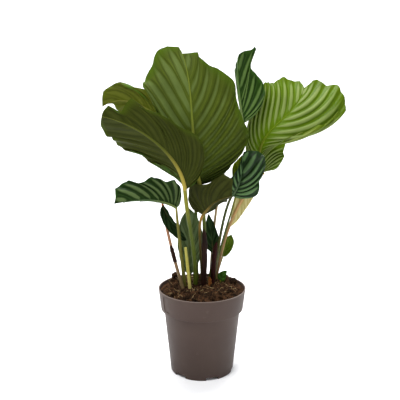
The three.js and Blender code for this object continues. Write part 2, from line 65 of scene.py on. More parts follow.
def solid(name, shape):
    """The object that a bmesh makes, its faces turned outwards."""
    bmesh.ops.recalc_face_normals(shape, faces=shape.faces)
    mesh = bpy.data.meshes.new(name)
    shape.to_mesh(mesh)
    shape.free()
    return linked(name, mesh)


def maths(name, swapped=False):
    """A method that adds the node for an operation on its wire and any other value."""
    def method(self, *others):
        values = (*others, self) if swapped else (self, *others)
        return self.tree.sum(name, *values)
    return method


class Wire:
    """An output socket as a value: an operator on it adds the node that works out the result."""

    def __init__(self, tree, socket):
        self.tree = tree
        self.socket = socket

    __add__ = __radd__ = maths("ADD")
    __sub__ = maths("SUBTRACT")
    __rsub__ = maths("SUBTRACT", swapped=True)
    __mul__ = __rmul__ = maths("MULTIPLY")
    __truediv__ = maths("DIVIDE")
    __rtruediv__ = maths("DIVIDE", swapped=True)
    __pow__ = maths("POWER")
    __gt__ = maths("GREATER_THAN")
    lowest = maths("MINIMUM")
    highest = maths("MAXIMUM")
    sine = maths("SINE")
    cosine = maths("COSINE")
    size = maths("ABSOLUTE")
    fraction = maths("FRACT")

    def peak(self, width):
        """1 where this value is 0, falling to 0 at a width on either side."""
        return 1 - (self.size() / width).lowest(1.0)

    def between(self, low, high):
        """Smoothly from 0 at low to 1 at high."""
        sockets = {"Value": self, "From Min": low, "From Max": high}
        return self.tree.node("ShaderNodeMapRange", {"interpolation_type": "SMOOTHSTEP"}, sockets)

    def vector(self, operation, other=None):
        """A Vector Math node on this vector."""
        sockets = {0: self} if other is None else {0: self, 1: other}
        output = "Value" if operation in {"LENGTH", "DOT_PRODUCT"} else "Vector"
        return self.tree.node("ShaderNodeVectorMath", {"operation": operation}, sockets, output)

    def part(self, axis):
        return self.tree.node("ShaderNodeSeparateXYZ", {}, {0: self}, axis)

    def also(self, name):
        """Another output of the node that this value comes from."""
        return Wire(self.tree, self.socket.node.outputs[name])


def is_vector(value):
    if isinstance(value, Wire):
        return value.socket.type in {"VECTOR", "RGBA"}
    return isinstance(value, (tuple, Vector))


class Tree:
    """A node tree written as expressions."""

    def __init__(self, group):
        self.group = group

    def node(self, kind, settings=None, sockets=None, output=0):
        """Adds a node, its settings first, then its sockets' values or wires, and returns one output."""
        made = self.group.nodes.new(kind)
        for key, value in (settings or {}).items():
            setattr(made, key, value)
        for key, value in (sockets or {}).items():
            for one in value if isinstance(value, list) else [value]:
                if isinstance(one, Wire):
                    self.group.links.new(one.socket, made.inputs[key])
                else:
                    made.inputs[key].default_value = one
        return None if output is None else Wire(self, made.outputs[output])

    def sum(self, operation, *values):
        """A Math node, or the Vector Math node where a value is a vector."""
        vectors = [is_vector(v) for v in values]
        if not any(vectors):
            return self.node("ShaderNodeMath", {"operation": operation}, dict(enumerate(values)))
        if operation == "MULTIPLY" and not all(vectors):
            vector, number = values if vectors[0] else reversed(values)
            sockets = {0: vector, "Scale": number}
            return self.node("ShaderNodeVectorMath", {"operation": "SCALE"}, sockets)
        return self.node("ShaderNodeVectorMath", {"operation": operation}, dict(enumerate(values)))

    def mix(self, factor, a, b, kind="RGBA"):
        first = {"FLOAT": 2, "VECTOR": 4, "RGBA": 6}[kind]
        output = {"FLOAT": 0, "VECTOR": 1, "RGBA": 2}[kind]
        sockets = {0: factor, first: a, first + 1: b}
        return self.node("ShaderNodeMix", {"data_type": kind}, sockets, output)

    def join(self, x, y, z=0.0):
        return self.node("ShaderNodeCombineXYZ", {}, {0: x, 1: y, 2: z})

    def noise(self, place, scale, detail=2.0, rough=0.5, output=0):
        sockets = {"Vector": place, "Scale": scale, "Detail": detail, "Roughness": rough}
        return self.node("ShaderNodeTexNoise", {}, sockets, output)


SHARP_EDGE = math.radians(60)


class Grower(Tree):
    """A geometry tree with named inputs, which ends in Realize Instances."""

    def __init__(self, name):
        super().__init__(bpy.data.node_groups.new(name, "GeometryNodeTree"))
        self.entry = self.group.nodes.new("NodeGroupInput")
        self.keys = {}
        self.group.interface.new_socket("Grown", in_out="OUTPUT", socket_type="NodeSocketGeometry")

    def input(self, name, kind="Float"):
        interface = self.group.interface
        made = interface.new_socket(name, in_out="INPUT", socket_type="NodeSocket" + kind)
        self.keys[name] = made.identifier
        return Wire(self, self.entry.outputs[name])

    def inputs(self, *names, kind="Float"):
        return [self.input(name, kind) for name in names]

    def geometry(self, kind, settings=None, sockets=None, output=0):
        return self.node("GeometryNode" + kind, settings, sockets, output)

    def named(self, name):
        return self.geometry("InputNamedAttribute", {"data_type": "FLOAT"}, {"Name": name})

    def store(self, geometry, name, value, domain="POINT"):
        settings = {"data_type": "FLOAT", "domain": domain}
        sockets = {"Geometry": geometry, "Name": name, "Value": value}
        return self.geometry("StoreNamedAttribute", settings, sockets)

    def move(self, geometry, offset):
        return self.geometry("SetPosition", {}, {"Geometry": geometry, "Offset": offset})

    def joined(self, *parts):
        return self.geometry("JoinGeometry", {}, {0: list(parts)})

    def put(self, geometry, position):
        return self.geometry("SetPosition", {}, {0: geometry, "Position": position})

    def welded(self, mesh, distance):
        return self.geometry("MergeByDistance", {}, {0: mesh, "Distance": distance})

    def bezier(self, control, steps):
        names = ("Start", "Start Handle", "End Handle", "End")
        sockets = {"Resolution": steps, **dict(zip(names, control))}
        return self.geometry("CurvePrimitiveBezierSegment", {"mode": "POSITION"}, sockets)

    def sampled(self, curve, share):
        """The place on a curve at a share of its length."""
        return self.geometry(
            "SampleCurve", {"mode": "FACTOR", "use_all_curves": True},
            {"Curves": curve, "Factor": share}, "Position")

    def ring(self, sides):
        return self.geometry("CurvePrimitiveCircle", {}, {"Resolution": sides, "Radius": 1.0})

    def swept(self, line, ring, radius):
        return self.geometry("CurveToMesh", {}, {0: line, 1: ring, "Scale": radius, "Fill Caps": True})

    def random(self, low, high, seed):
        """A random value for each point, a vector between vectors or a number between numbers."""
        if is_vector(low):
            sockets = {0: low, 1: high, "Seed": seed}
            return self.node("FunctionNodeRandomValue", {"data_type": "FLOAT_VECTOR"}, sockets)
        sockets = {2: low, 3: high, "Seed": seed}
        return self.node("FunctionNodeRandomValue", {"data_type": "FLOAT"}, sockets, 1)

    def strewn(self, ground, least_top, density, seed, copy, turn, scale):
        """Copies laid out over the top of the ground, each with its own turn and scale."""
        points = self.geometry(
            "DistributePointsOnFaces", {"distribute_method": "RANDOM"},
            {0: ground, "Selection": self.named("top") > least_top, "Density": density, "Seed": seed})
        rotation = self.node("FunctionNodeEulerToRotation", {}, {0: turn})
        copies = self.geometry(
            "InstanceOnPoints", {}, {0: points, "Instance": copy, "Rotation": rotation, "Scale": scale})
        return self.geometry("RealizeInstances", {}, {0: copies})

    def smoothed(self, mesh):
        """Shades the mesh smooth, and keeps its sharp edges."""
        smooth = self.geometry("SetShadeSmooth", {"domain": "FACE"}, {0: mesh, "Shade Smooth": True})
        turn = self.geometry("InputMeshEdgeAngle")
        return self.geometry(
            "SetShadeSmooth", {"domain": "EDGE"},
            {0: smooth, "Selection": turn > SHARP_EDGE, "Shade Smooth": False})

    def finish(self, geometry, material):
        """Gives the geometry its material, makes it real and ends the tree."""
        painted = self.geometry("SetMaterial", {}, {"Geometry": geometry, "Material": material})
        real = self.geometry("RealizeInstances", {}, {0: painted})
        exit_node = self.group.nodes.new("NodeGroupOutput")
        self.group.links.new(real.socket, exit_node.inputs[0])
        return self

    def grow(self, name, values, mesh=None):
        """The plain mesh object that this tree makes with these inputs."""
        seed = mesh or bpy.data.meshes.new(name + "_seed")
        carrier = linked(name + "_carrier", seed)
        modifier = carrier.modifiers.new("grow", "NODES")
        modifier.node_group = self.group
        for key, value in values.items():
            modifier[self.keys[key]] = value
        depsgraph = bpy.context.evaluated_depsgraph_get()
        grown = bpy.data.meshes.new_from_object(carrier.evaluated_get(depsgraph))
        bpy.data.objects.remove(carrier)
        bpy.data.meshes.remove(seed)
        grown.name = name
        return linked(name, grown)


def place(piece, slot, *nodes):
    """Makes a piece ride on the plant's body, for the nodes it stands for, which it hides; its slot is not
    used.
    """
    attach(piece, "root")
    if nodes:
        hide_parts(*nodes)


def tone(code):
    """Linear colour of a six-digit sRGB code."""
    shares = [int(code[i:i + 2], 16) / 255 for i in (0, 2, 4)]
    return tuple(c / 12.92 if c < 0.04045 else ((c + 0.055) / 1.055) ** 2.4 for c in shares) + (1.0,)


# The studio. The camera stands where the photograph was taken from. A light is given by the place where
# it stands, the place that it aims at, its width in metres and its power.

CAMERA_PLACE = (-2.8, -800, 400)
CAMERA_PITCH = 11.3
CAMERA_LENS = 54.8
SENSOR = 36
LIGHTS = {
    "key": ((-550, -700, 1500), (0, 0, 280), 0.8, 22),
    "fill": ((1400, -1100, 700), (0, 0, 250), 1.2, 6),
    "top": ((100, 500, 1900), (0, 0, 250), 0.9, 16),
    "backdrop": ((0, 900, 2600), (0, 2400, 500), 2.0, 90),
}
SKY = (0.95, 0.97, 1, 1)
SKY_STRENGTH = 0.4
PAPER = (0.93, 0.93, 0.94, 1)


def add_camera():
    camera = linked("camera", bpy.data.cameras.new("camera"))
    camera.data.lens = CAMERA_LENS
    camera.data.sensor_width = SENSOR
    camera.location = Vector(CAMERA_PLACE) * MM
    camera.rotation_euler = (math.radians(90 - CAMERA_PITCH), 0, 0)
    bpy.context.scene.camera = camera


def add_light(name, spot, aim, size, power):
    light = linked(name, bpy.data.lights.new(name, "AREA"))
    light.data.shape = "DISK"
    light.data.size = size
    light.data.energy = power
    light.location = Vector(spot) * MM
    line = (Vector(aim) - Vector(spot)).normalized()
    light.rotation_mode = "QUATERNION"
    light.rotation_quaternion = line.to_track_quat("-Z", "Y")


def add_sweep():
    """A pale sheet that lies under the plant and bends up behind it, in metres."""
    half, front, back, bend, high, steps = 4.0, -4.0, 1.6, 1.0, 4.0, 16
    line = [(front, 0.0)]
    for k in range(steps + 1):
        turn = math.pi / 2 * k / steps
        line.append((back + bend * math.sin(turn), bend - bend * math.cos(turn)))
    line.append((back + bend, high))
    points = [(x, y, z) for y, z in line for x in (-half, half)]
    faces = [(2 * i, 2 * i + 1, 2 * i + 3, 2 * i + 2) for i in range(len(line) - 1)]
    mesh = mesh_of("sweep", points, [], faces)
    mesh.shade_smooth()
    mesh.materials.append(Paint("sweep_paper").finish(PAPER, 0.95, 0.1))
    linked("sweep", mesh)


def add_studio():
    """The sweep, soft lights and a pale sky."""
    add_sweep()
    for name, light in LIGHTS.items():
        add_light(name, *light)
    world = bpy.data.worlds.new("sky")
    world.use_nodes = True
    sky = world.node_tree.nodes["Background"].inputs
    sky["Color"].default_value = SKY
    sky["Strength"].default_value = SKY_STRENGTH
    bpy.context.scene.world = world
    bpy.context.scene.view_settings.view_transform = "Standard"


# Materials

class Paint(Tree):
    """A material's tree, with its coordinates and its closing shader."""

    def __init__(self, name):
        self.material = bpy.data.materials.new(name)
        self.material.use_nodes = True
        super().__init__(self.material.node_tree)
        self.group.nodes.clear()

    def object_place(self, scale=(1, 1, 1)):
        """Object coordinates, stretched by a scale on each axis."""
        spot = self.node("ShaderNodeTexCoord", {}, {}, "Object")
        return self.node("ShaderNodeMapping", {}, {"Vector": spot, "Scale": scale})

    def attribute(self, name):
        return self.node("ShaderNodeAttribute", {"attribute_name": name}, {}, "Fac")

    def bump(self, height, strength, distance):
        sockets = {"Height": height, "Strength": strength, "Distance": distance}
        return self.node("ShaderNodeBump", {}, sockets)

    def finish(self, color, rough, gloss, normal=None):
        """Closes the tree with its shader, whose specular level is the gloss, a plain number."""
        sockets = {"Base Color": color, "Roughness": rough, "Specular IOR Level": gloss}
        if normal:
            sockets["Normal"] = normal
        shader = self.node("ShaderNodeBsdfPrincipled", {}, sockets)
        self.node("ShaderNodeOutputMaterial", {}, {"Surface": shader}, output=None)
        return self.material


# A leaf's look, unless its table says otherwise: the pale bands start and stop at a share of the way
# out and have a half width on each half of the blade, dark is a shadow tone on each half, and deep one
# that grows toward the base, from the share low of the length.
TONES = ("upper", "band", "under", "under_band", "margin", "vein", "rib", "shade")
LOOK = dict(start=0.15, stop=0.97, wide=(0.55, 0.55), dark=(0, 0), deep=0, low=0.45, rough=0.42, gloss=0.06)
BAND_TAPER = 5.0
BAND_FEATHER = (-0.32, 0.1)
# Painted valley shade: how far beyond a pale band's edge its dark line lies, and that line's half width.
BORDER = 0.16
VEIN_WIDE = 0.1
HAIR_LINES = 8
MARGIN_FROM = 0.84
RIB_EDGE = 0.05


def leaf_paint(name, look):
    """A banded blade: feathered pale bands between its side veins, a plainer underside, a paler midrib, and
    painted shade beside the bands, on a half and toward the base.
    """
    p = Paint(name)
    look = {**LOOK, **look}
    tones = dict(zip(TONES, [tone(code) for code in look["tones"].split()]))
    beat, out, along, half, under, rib = [
        p.attribute(key) for key in ("vein", "out", "along", "half", "under", "rib")]
    spot = p.object_place()
    cloud = p.noise(spot, 30.0, 3.0)
    streak = p.noise(p.join(beat * 9.0, out * 1.6, under * 3.0), 1.0, 4.0, 0.65)
    shred = p.noise(p.join(beat * 1.3, out * 4.0, 4.0), 1.0, 2.0)

    away = (beat.fraction() - 0.5).size() * 2
    reach = p.mix(half, *look["wide"], kind="FLOAT") * (out / look["start"]).lowest(1.0)
    reach = reach * (1 - (out / look["stop"]).lowest(1.0) ** BAND_TAPER)
    edge = away - reach + (streak - 0.5) * 0.4 + (shred - 0.5) * 0.3
    band = 1 - edge.between(*BAND_FEATHER)
    # Painted shade: a dark line in the valley just beyond each pale band's edge, absent next to the midrib.
    valley_shade = (edge - BORDER).peak(BORDER) * out.between(0.05, 0.3)
    vein = (1 - away).peak(VEIN_WIDE) * (1 - out.between(0.75, 0.95))
    hair = (beat * (2 * math.pi * HAIR_LINES) + shred * 6.0).cosine() * 0.5 + 0.5
    above = p.mix(band * (1 - hair * 0.25), tones["upper"], tones["band"])
    below = p.mix(band * (0.9 - hair * 0.2), tones["under"], tones["under_band"])
    dark = p.mix(half, *look["dark"], kind="FLOAT")
    low = (1 - along.between(0.0, look["low"])) * look["deep"]

    color = p.mix(under, above, below)
    # The painted valley shade, at half strength, in the shade tone.
    color = p.mix(valley_shade * 0.5, color, tones["shade"])
    color = p.mix(vein * 0.35, color, tones["vein"])
    color = p.mix(out.between(MARGIN_FROM, 1.0) * 0.8, color, tones["margin"])
    color = p.mix((1 - out.between(0.0, RIB_EDGE)) * 0.5, color, tones["vein"])
    color = p.mix(cloud.between(0.4, 0.75) * 0.25, color, tones["shade"])
    color = p.mix((dark + low).lowest(0.95), color, tones["shade"])
    color = p.mix(rib, color, p.mix(along.between(0.05, 0.5), tones["rib"], tones["vein"]))
    relief = hair * 0.3 + streak * 0.45 + p.noise(spot, 900.0, 2.0) * 0.25
    normal = p.bump(relief * (1 - rib), 0.4, 0.0006)
    rough = look["rough"] + band * 0.08 + under * 0.14 + (cloud - 0.5) * 0.12
    return p.finish(color, rough, look["gloss"], normal)


PETIOLE_LINES = 14
EARTH = (0.02, 0.012, 0.006, 1)


def petiole_paint(name, foot, middle, top):
    """A petiole: its tone changes from foot to blade, with fine lengthwise streaks."""
    p = Paint(name)
    along = p.attribute("along")
    turn = p.attribute("round")
    spot = p.object_place((1, 1, 0.06))
    streak = p.noise(spot, 900.0, 3.0, 0.6)
    patch = p.noise(p.object_place((1, 1, 0.4)), 70.0, 3.0)
    color = p.mix(along.between(0.05, 0.55), tone(foot), tone(middle))
    color = p.mix(along.between(0.55, 0.97), color, tone(top))
    color = p.mix(streak.between(0.35, 0.7) * 0.4, color, p.mix(0.55, color, EARTH))
    color = p.mix(patch.between(0.5, 0.75) * 0.3, color, tone(foot))
    lines = (turn * (2 * math.pi * PETIOLE_LINES)).cosine() * 0.5 + 0.5
    return p.finish(color, 0.42 + streak * 0.2, 0.18, p.bump(lines * 0.5 + streak * 0.5, 0.4, 0.0004))


def sheath_paint(name, dark, pale):
    """A dry, fibrous sheath."""
    p = Paint(name)
    out = p.attribute("out")
    beat = p.attribute("vein")
    fibre = p.noise(p.join(out * 26.0, beat * 0.8), 1.0, 4.0, 0.65)
    patch = p.noise(p.object_place((1, 1, 0.3)), 120.0, 3.0)
    color = p.mix(fibre.between(0.4, 0.75), tone(dark), tone(pale))
    color = p.mix(patch.between(0.45, 0.7) * 0.6, color, tone(dark))
    return p.finish(color, 0.5 + fibre * 0.35, 0.1, p.bump(fibre, 0.7, 0.0006))


def wing_paint():
    """Thin, dry and pale, with lengthwise streaks and a browner rib."""
    p = Paint("pale_wing")
    out, rib = p.attribute("out"), p.attribute("rib")
    streak = p.noise(p.object_place((1, 1, 0.08)), 420.0, 3.0, 0.6)
    color = p.mix(streak.between(0.35, 0.7), tone("cfc58c"), tone("aa9c56"))
    color = p.mix(1 - out.between(0.0, 0.25), color, tone("a07c34"))
    color = p.mix(rib, color, tone("a8742c"))
    return p.finish(color, 0.55 + streak * 0.2, 0.12, p.bump(streak, 0.4, 0.0004))


def peat_paint():
    p = Paint("peat")
    spot = p.object_place()
    grain = p.noise(spot, 420.0, 4.0, 0.7)
    patch = p.noise(spot, 110.0, 3.0)
    color = p.mix(grain.between(0.35, 0.7), tone("140c07"), tone("553a25"))
    color = p.mix(patch.between(0.42, 0.62) * 0.8, color, tone("0f0905"))
    color = p.mix(p.noise(spot, 1500.0, 1.0).between(0.66, 0.74) * 0.6, color, tone("7a5c3a"))
    return p.finish(color, 0.85 + grain * 0.12, 0.05, p.bump(grain, 0.9, 0.0012))


def fibre_paint():
    p = Paint("straw_fibre")
    grain = p.noise(p.object_place(), 260.0, 2.0)
    color = p.mix(grain.between(0.3, 0.7), tone("6a4c2c"), tone("c8b080"))
    return p.finish(color, 0.75, 0.1)


# Heights, in metres, of the rim's top edge, which gets a painted highlight.
RIM_PAINTED_HIGHLIGHT = (0.1172, 0.1178)


def plastic_paint():
    """Matt taupe plastic with a faint moulding grain, turning rings, a few scuffs, painted shade towards the
    foot and a painted highlight along the rim.
    """
    p = Paint("taupe_plastic")
    spot = p.object_place()
    cloud = p.noise(spot, 14.0, 3.0)
    grain = p.noise(spot, 1600.0, 2.0)
    rings = p.noise(p.object_place((1, 1, 60)), 9.0, 2.0)
    dust = p.noise(spot, 90.0, 4.0, 0.65)
    scratch = p.noise(p.object_place((1, 1, 9)), 130.0, 2.0)
    color = p.mix(cloud.between(0.3, 0.7), tone("453731"), tone("4c3e37"))
    color = p.mix(dust.between(0.62, 0.8) * 0.3, color, tone("62544c"))
    color = p.mix(scratch.between(0.72, 0.8) * 0.5, color, tone("241c18"))
    height = spot.part("Z")
    # Painted shade: the body grows darker towards its foot.
    color = p.mix((1 - height.between(0.0, 0.11)) * 0.4, color, tone("2a201c"))
    # Painted highlight: a paler line along the top of the rim.
    color = p.mix(height.between(*RIM_PAINTED_HIGHLIGHT) * 0.5, color, tone("8a7c74"))
    normal = p.bump(grain * 0.6 + rings * 0.4, 0.18, 0.0004)
    return p.finish(color, 0.44 + dust * 0.14 + cloud * 0.06, 0.18, normal)


# Curves of the plant

def through(points):
    """Control points of the cubic curve that passes four points at even steps."""
    a, b, c, d = [Vector(p) * MM for p in points]
    rise = (a * -5 + b * 18 - c * 9 + d * 2) / 6
    bow = (a * 2 - b * 9 + c * 18 - d * 5) / 6
    return [a, rise, bow, d]


def cubic(control, t):
    a, b, c, d = control
    s = 1 - t
    return a * s ** 3 + b * 3 * s * s * t + c * 3 * s * t * t + d * t ** 3


def length_of(control, steps=200):
    spots = [cubic(control, k / steps) for k in range(steps + 1)]
    return sum((q - p).length for p, q in zip(spots, spots[1:]))


# Blades. A blade is a grid whose rows follow the side veins. Its margin comes in as two chains of
# points, (out from the midrib, along it), one for each half, left first as the upper side is seen.
# A share of the side veins' starts follows a power along the midrib, and the rest VEIN_RUSH; VEIN_OUT
# and VEIN_ON place a side vein's bend, as shares of its run outwards and onwards. The pleats are deepest
# half way out, keep the depth that they have at PLEAT_REACH from there on, and fade near base and tip.

VEINS = (0.6, 2.3)
VEIN_RUSH = 6
VEIN_OUT = 0.72
VEIN_ON = 0.42
PLEAT_REACH = 0.75
PLEAT_FADE = 0.2
PLEAT_SHARP = 1.4
WOBBLE = 0.07
MIDRIB_STEPS = 64
RIB_SUNK = 0.9
RIB_TAPER = 0.35
RIB_SIDES = 12
GROOVE = 0.0006
GROOVE_WIDE = 0.1
WELD = 0.00002


def frame_at(g, step, tangent, faces):
    """Directions at a share of the midrib: the upper side, and across to the right half."""
    lean = g.mix(step, *faces, kind="VECTOR")
    up = (lean - tangent * lean.vector("DOT_PRODUCT", tangent)).vector("NORMALIZE")
    return up, tangent.vector("CROSS_PRODUCT", up)


def build_blade_tree():
    g = Grower("blade")
    margin = g.input("Margin", "Geometry")
    control = g.inputs("Base", "Base handle", "Tip handle", "Tip", kind="Vector")
    faces = g.inputs("Face at base", "Face at tip", kind="Vector")
    folds = g.inputs("Left fold", "Right fold")
    bends = g.inputs("Left bend", "Right bend")
    depths = g.inputs("Left pleat", "Right pleat")
    pleats, ripple, waves, phase = g.inputs("Pleats", "Ripple", "Waves", "Phase")
    share, rise = g.inputs("Vein share", "Vein rise")
    sheet, rib_base, rib_tip = g.inputs("Sheet", "Rib at base", "Rib at tip")
    rows, columns = g.inputs("Rows", "Columns", kind="Int")
    material = g.input("Material", "Material")

    midrib = g.bezier(control, MIDRIB_STEPS)
    length = g.geometry("CurveLength", {}, {0: midrib})

    spot = g.geometry("InputPosition")
    across = spot.part("X")
    right = across > 0.0
    u = across.size()
    v = spot.part("Y") + 0.5
    ends = []
    for half in (0, 1):
        mark = g.named("half") > 0.0
        chosen = mark if half else 1.0 - mark
        chain = g.geometry("SeparateGeometry", {"domain": "POINT"}, {0: margin, 1: chosen})
        curve = g.geometry("MeshToCurve", {}, {0: chain})
        curve = g.geometry("CurveSplineType", {"spline_type": "CATMULL_ROM"}, {0: curve})
        ends.append(g.sampled(curve, v))
    end = g.mix(right, *ends, kind="VECTOR")

    start = length * (share * v ** rise + (1 - share) * v ** VEIN_RUSH)
    bow = g.join(end.part("X") * VEIN_OUT, start + (end.part("Y") - start) * VEIN_ON)
    flat = g.join(0.0, start) * ((1 - u) * (1 - u)) + bow * (u * (1 - u) * 2) + end * (u * u)
    out, along = flat.part("X"), flat.part("Y")

    step = (along / length).highest(0.0).lowest(1.0)
    sample = g.sampled(midrib, step)
    tangent = sample.also("Tangent")
    up, side = frame_at(g, step, tangent, faces)
    side = side * (right * 2 - 1)
    fold = g.mix(right, *folds, kind="FLOAT")
    turn = g.mix(right, *bends, kind="FLOAT") * out
    middle = fold + turn / 2
    chord = out * (1 - turn * turn / 24 + turn * turn * turn * turn / 1920)
    point = sample + tangent * (along - step * length)
    point = point + side * (chord * middle.cosine()) + up * (chord * middle.sine())
    point = point - up * ((1 - u.between(0.0, GROOVE_WIDE)) * GROOVE)
    normal = up * (fold + turn).cosine() - side * (fold + turn).sine()

    wobble = (v * 17.0 + phase * 2.0 + right * 1.7).sine() * WOBBLE
    beat = v * pleats + wobble * (v * (1 - v) * 4)
    valley = ((beat * (2 * math.pi)).cosine() * 0.5 + 0.5) ** PLEAT_SHARP
    fade = (v / PLEAT_FADE).lowest((1 - v) / PLEAT_FADE).lowest(1.0)
    reach = (u.lowest(PLEAT_REACH) * math.pi).sine()
    depth = g.mix(right, *depths, kind="FLOAT")
    swell = (v * waves * (2 * math.pi) + phase + right * 2.0).sine() * u ** 3.0 * ripple
    height = (1 - valley * 2) * reach * depth * fade + swell * fade

    grid = g.geometry(
        "MeshGrid", {}, {"Size X": 2.0, "Size Y": 1.0, "Vertices X": columns, "Vertices Y": rows})
    for key, value in {"vein": beat, "out": u, "along": v, "half": right}.items():
        grid = g.store(grid, key, value)
    blade = g.welded(g.put(grid, point + normal * height), WELD)
    face = g.geometry("InputNormal")
    upper = g.move(blade, face * (sheet / 2))
    shell = g.geometry("ExtrudeMesh", {"mode": "FACES"}, {
        0: upper, "Offset": face * -1.0, "Offset Scale": sheet, "Individual": False})
    shell = g.store(shell, "under", 1.0, "FACE")
    shell = g.geometry("FlipFaces", {}, {0: shell})
    shell = g.welded(g.joined(upper, shell), WELD / 4)

    t = g.geometry("SplineParameter")
    radius = rib_base + (rib_tip - rib_base) * t ** RIB_TAPER
    line = g.geometry("InputTangent")
    down, _ = frame_at(g, t, line, faces)
    sunk = g.move(midrib, down * (radius * t.between(0.0, 0.08) * -RIB_SUNK - GROOVE))
    tube = g.swept(g.store(sunk, "along", t), g.ring(RIB_SIDES), radius)
    tube = g.store(g.store(tube, "rib", 1.0), "under", 1.0, "FACE")
    return g.finish(g.smoothed(g.joined(shell, tube)), material)


CORNER = 0.22


def cornered(edge, length):
    """A half's margin, in which a point with a third number is a corner, with a point close each side."""
    chain = [Vector(p[:2]) for p in ((0, 0), *edge, (0, length / MM))]
    points = [chain[0]]
    for i, spot in enumerate(edge, 1):
        sharp = len(spot) > 2
        points += [chain[i].lerp(chain[i - 1], CORNER)] if sharp else []
        points += [chain[i]]
        points += [chain[i].lerp(chain[i + 1], CORNER)] if sharp else []
    return points + [chain[-1]]


def margin_mesh(name, edges, length):
    """Two chains of points, from the blade's base round each half to its tip."""
    points, links, halves = [], [], []
    for half, edge in enumerate(edges):
        chain = cornered(edge, length)
        first = len(points)
        points += [(x * MM, y * MM, 0) for x, y in chain]
        links += [(first + i, first + i + 1) for i in range(len(chain) - 1)]
        halves += [float(half)] * len(chain)
    return mesh_of(name + "_margin", points, links, [], half=halves)


BLADE_SHEET = 0.5
LEAST_CURL = 0.1
ROWS_A_PLEAT = 12
COLUMNS = 49


def grow_blade(tree, name, leaf, material):
    """Grows the blade that a leaf's table describes."""
    control = through(leaf["midrib"])
    values = dict(zip(("Base", "Base handle", "Tip handle", "Tip"), control))
    values["Face at base"], values["Face at tip"] = [Vector(f) for f in leaf["face"]]
    for half, side in enumerate(("Left", "Right")):
        widest = max(spot[0] for spot in leaf["edge"][half]) * MM
        curl = leaf["curl"][half] or LEAST_CURL
        values[side + " fold"] = math.radians(leaf["fold"][half])
        values[side + " bend"] = math.radians(curl) / widest
        values[side + " pleat"] = leaf["depth"][half] * MM
    values["Vein share"], values["Vein rise"] = [float(v) for v in leaf.get("veins", VEINS)]
    values["Rib at base"], values["Rib at tip"] = [radius * MM for radius in leaf["rib"]]
    values.update({
        "Pleats": float(leaf["pleats"]),
        "Ripple": leaf["ripple"] * MM,
        "Waves": float(leaf["waves"]),
        "Phase": float(leaf.get("phase", 0)),
        "Sheet": BLADE_SHEET * MM,
        "Rows": leaf["pleats"] * ROWS_A_PLEAT + 1,
        "Columns": COLUMNS,
        "Material": material,
    })
    mesh = margin_mesh(name, leaf["edge"], length_of(control))
    return tree.grow(name, {k: list(v) if isinstance(v, Vector) else v for k, v in values.items()}, mesh)


# Each leaf: the midrib passes through four points; face is where the upper side looks at the base and
# at the tip; edge lists the margin of its two halves, with a third number at a corner; fold and curl
# turn a half towards the upper side, in degrees; veins holds the share and the power in the rule of the
# side veins' starts; depth is the pleats' own on each half; ripple, waves and phase swell the margin.
# Its petiole enters the soil at foot, along lean, keeps to its first and last direction over the shares
# in reach, and ends along neck where that isn't the midrib's direction; stalk holds its radii and stem
# names its tones. A look holds eight tones, in the order of TONES, and what differs from LOOK.

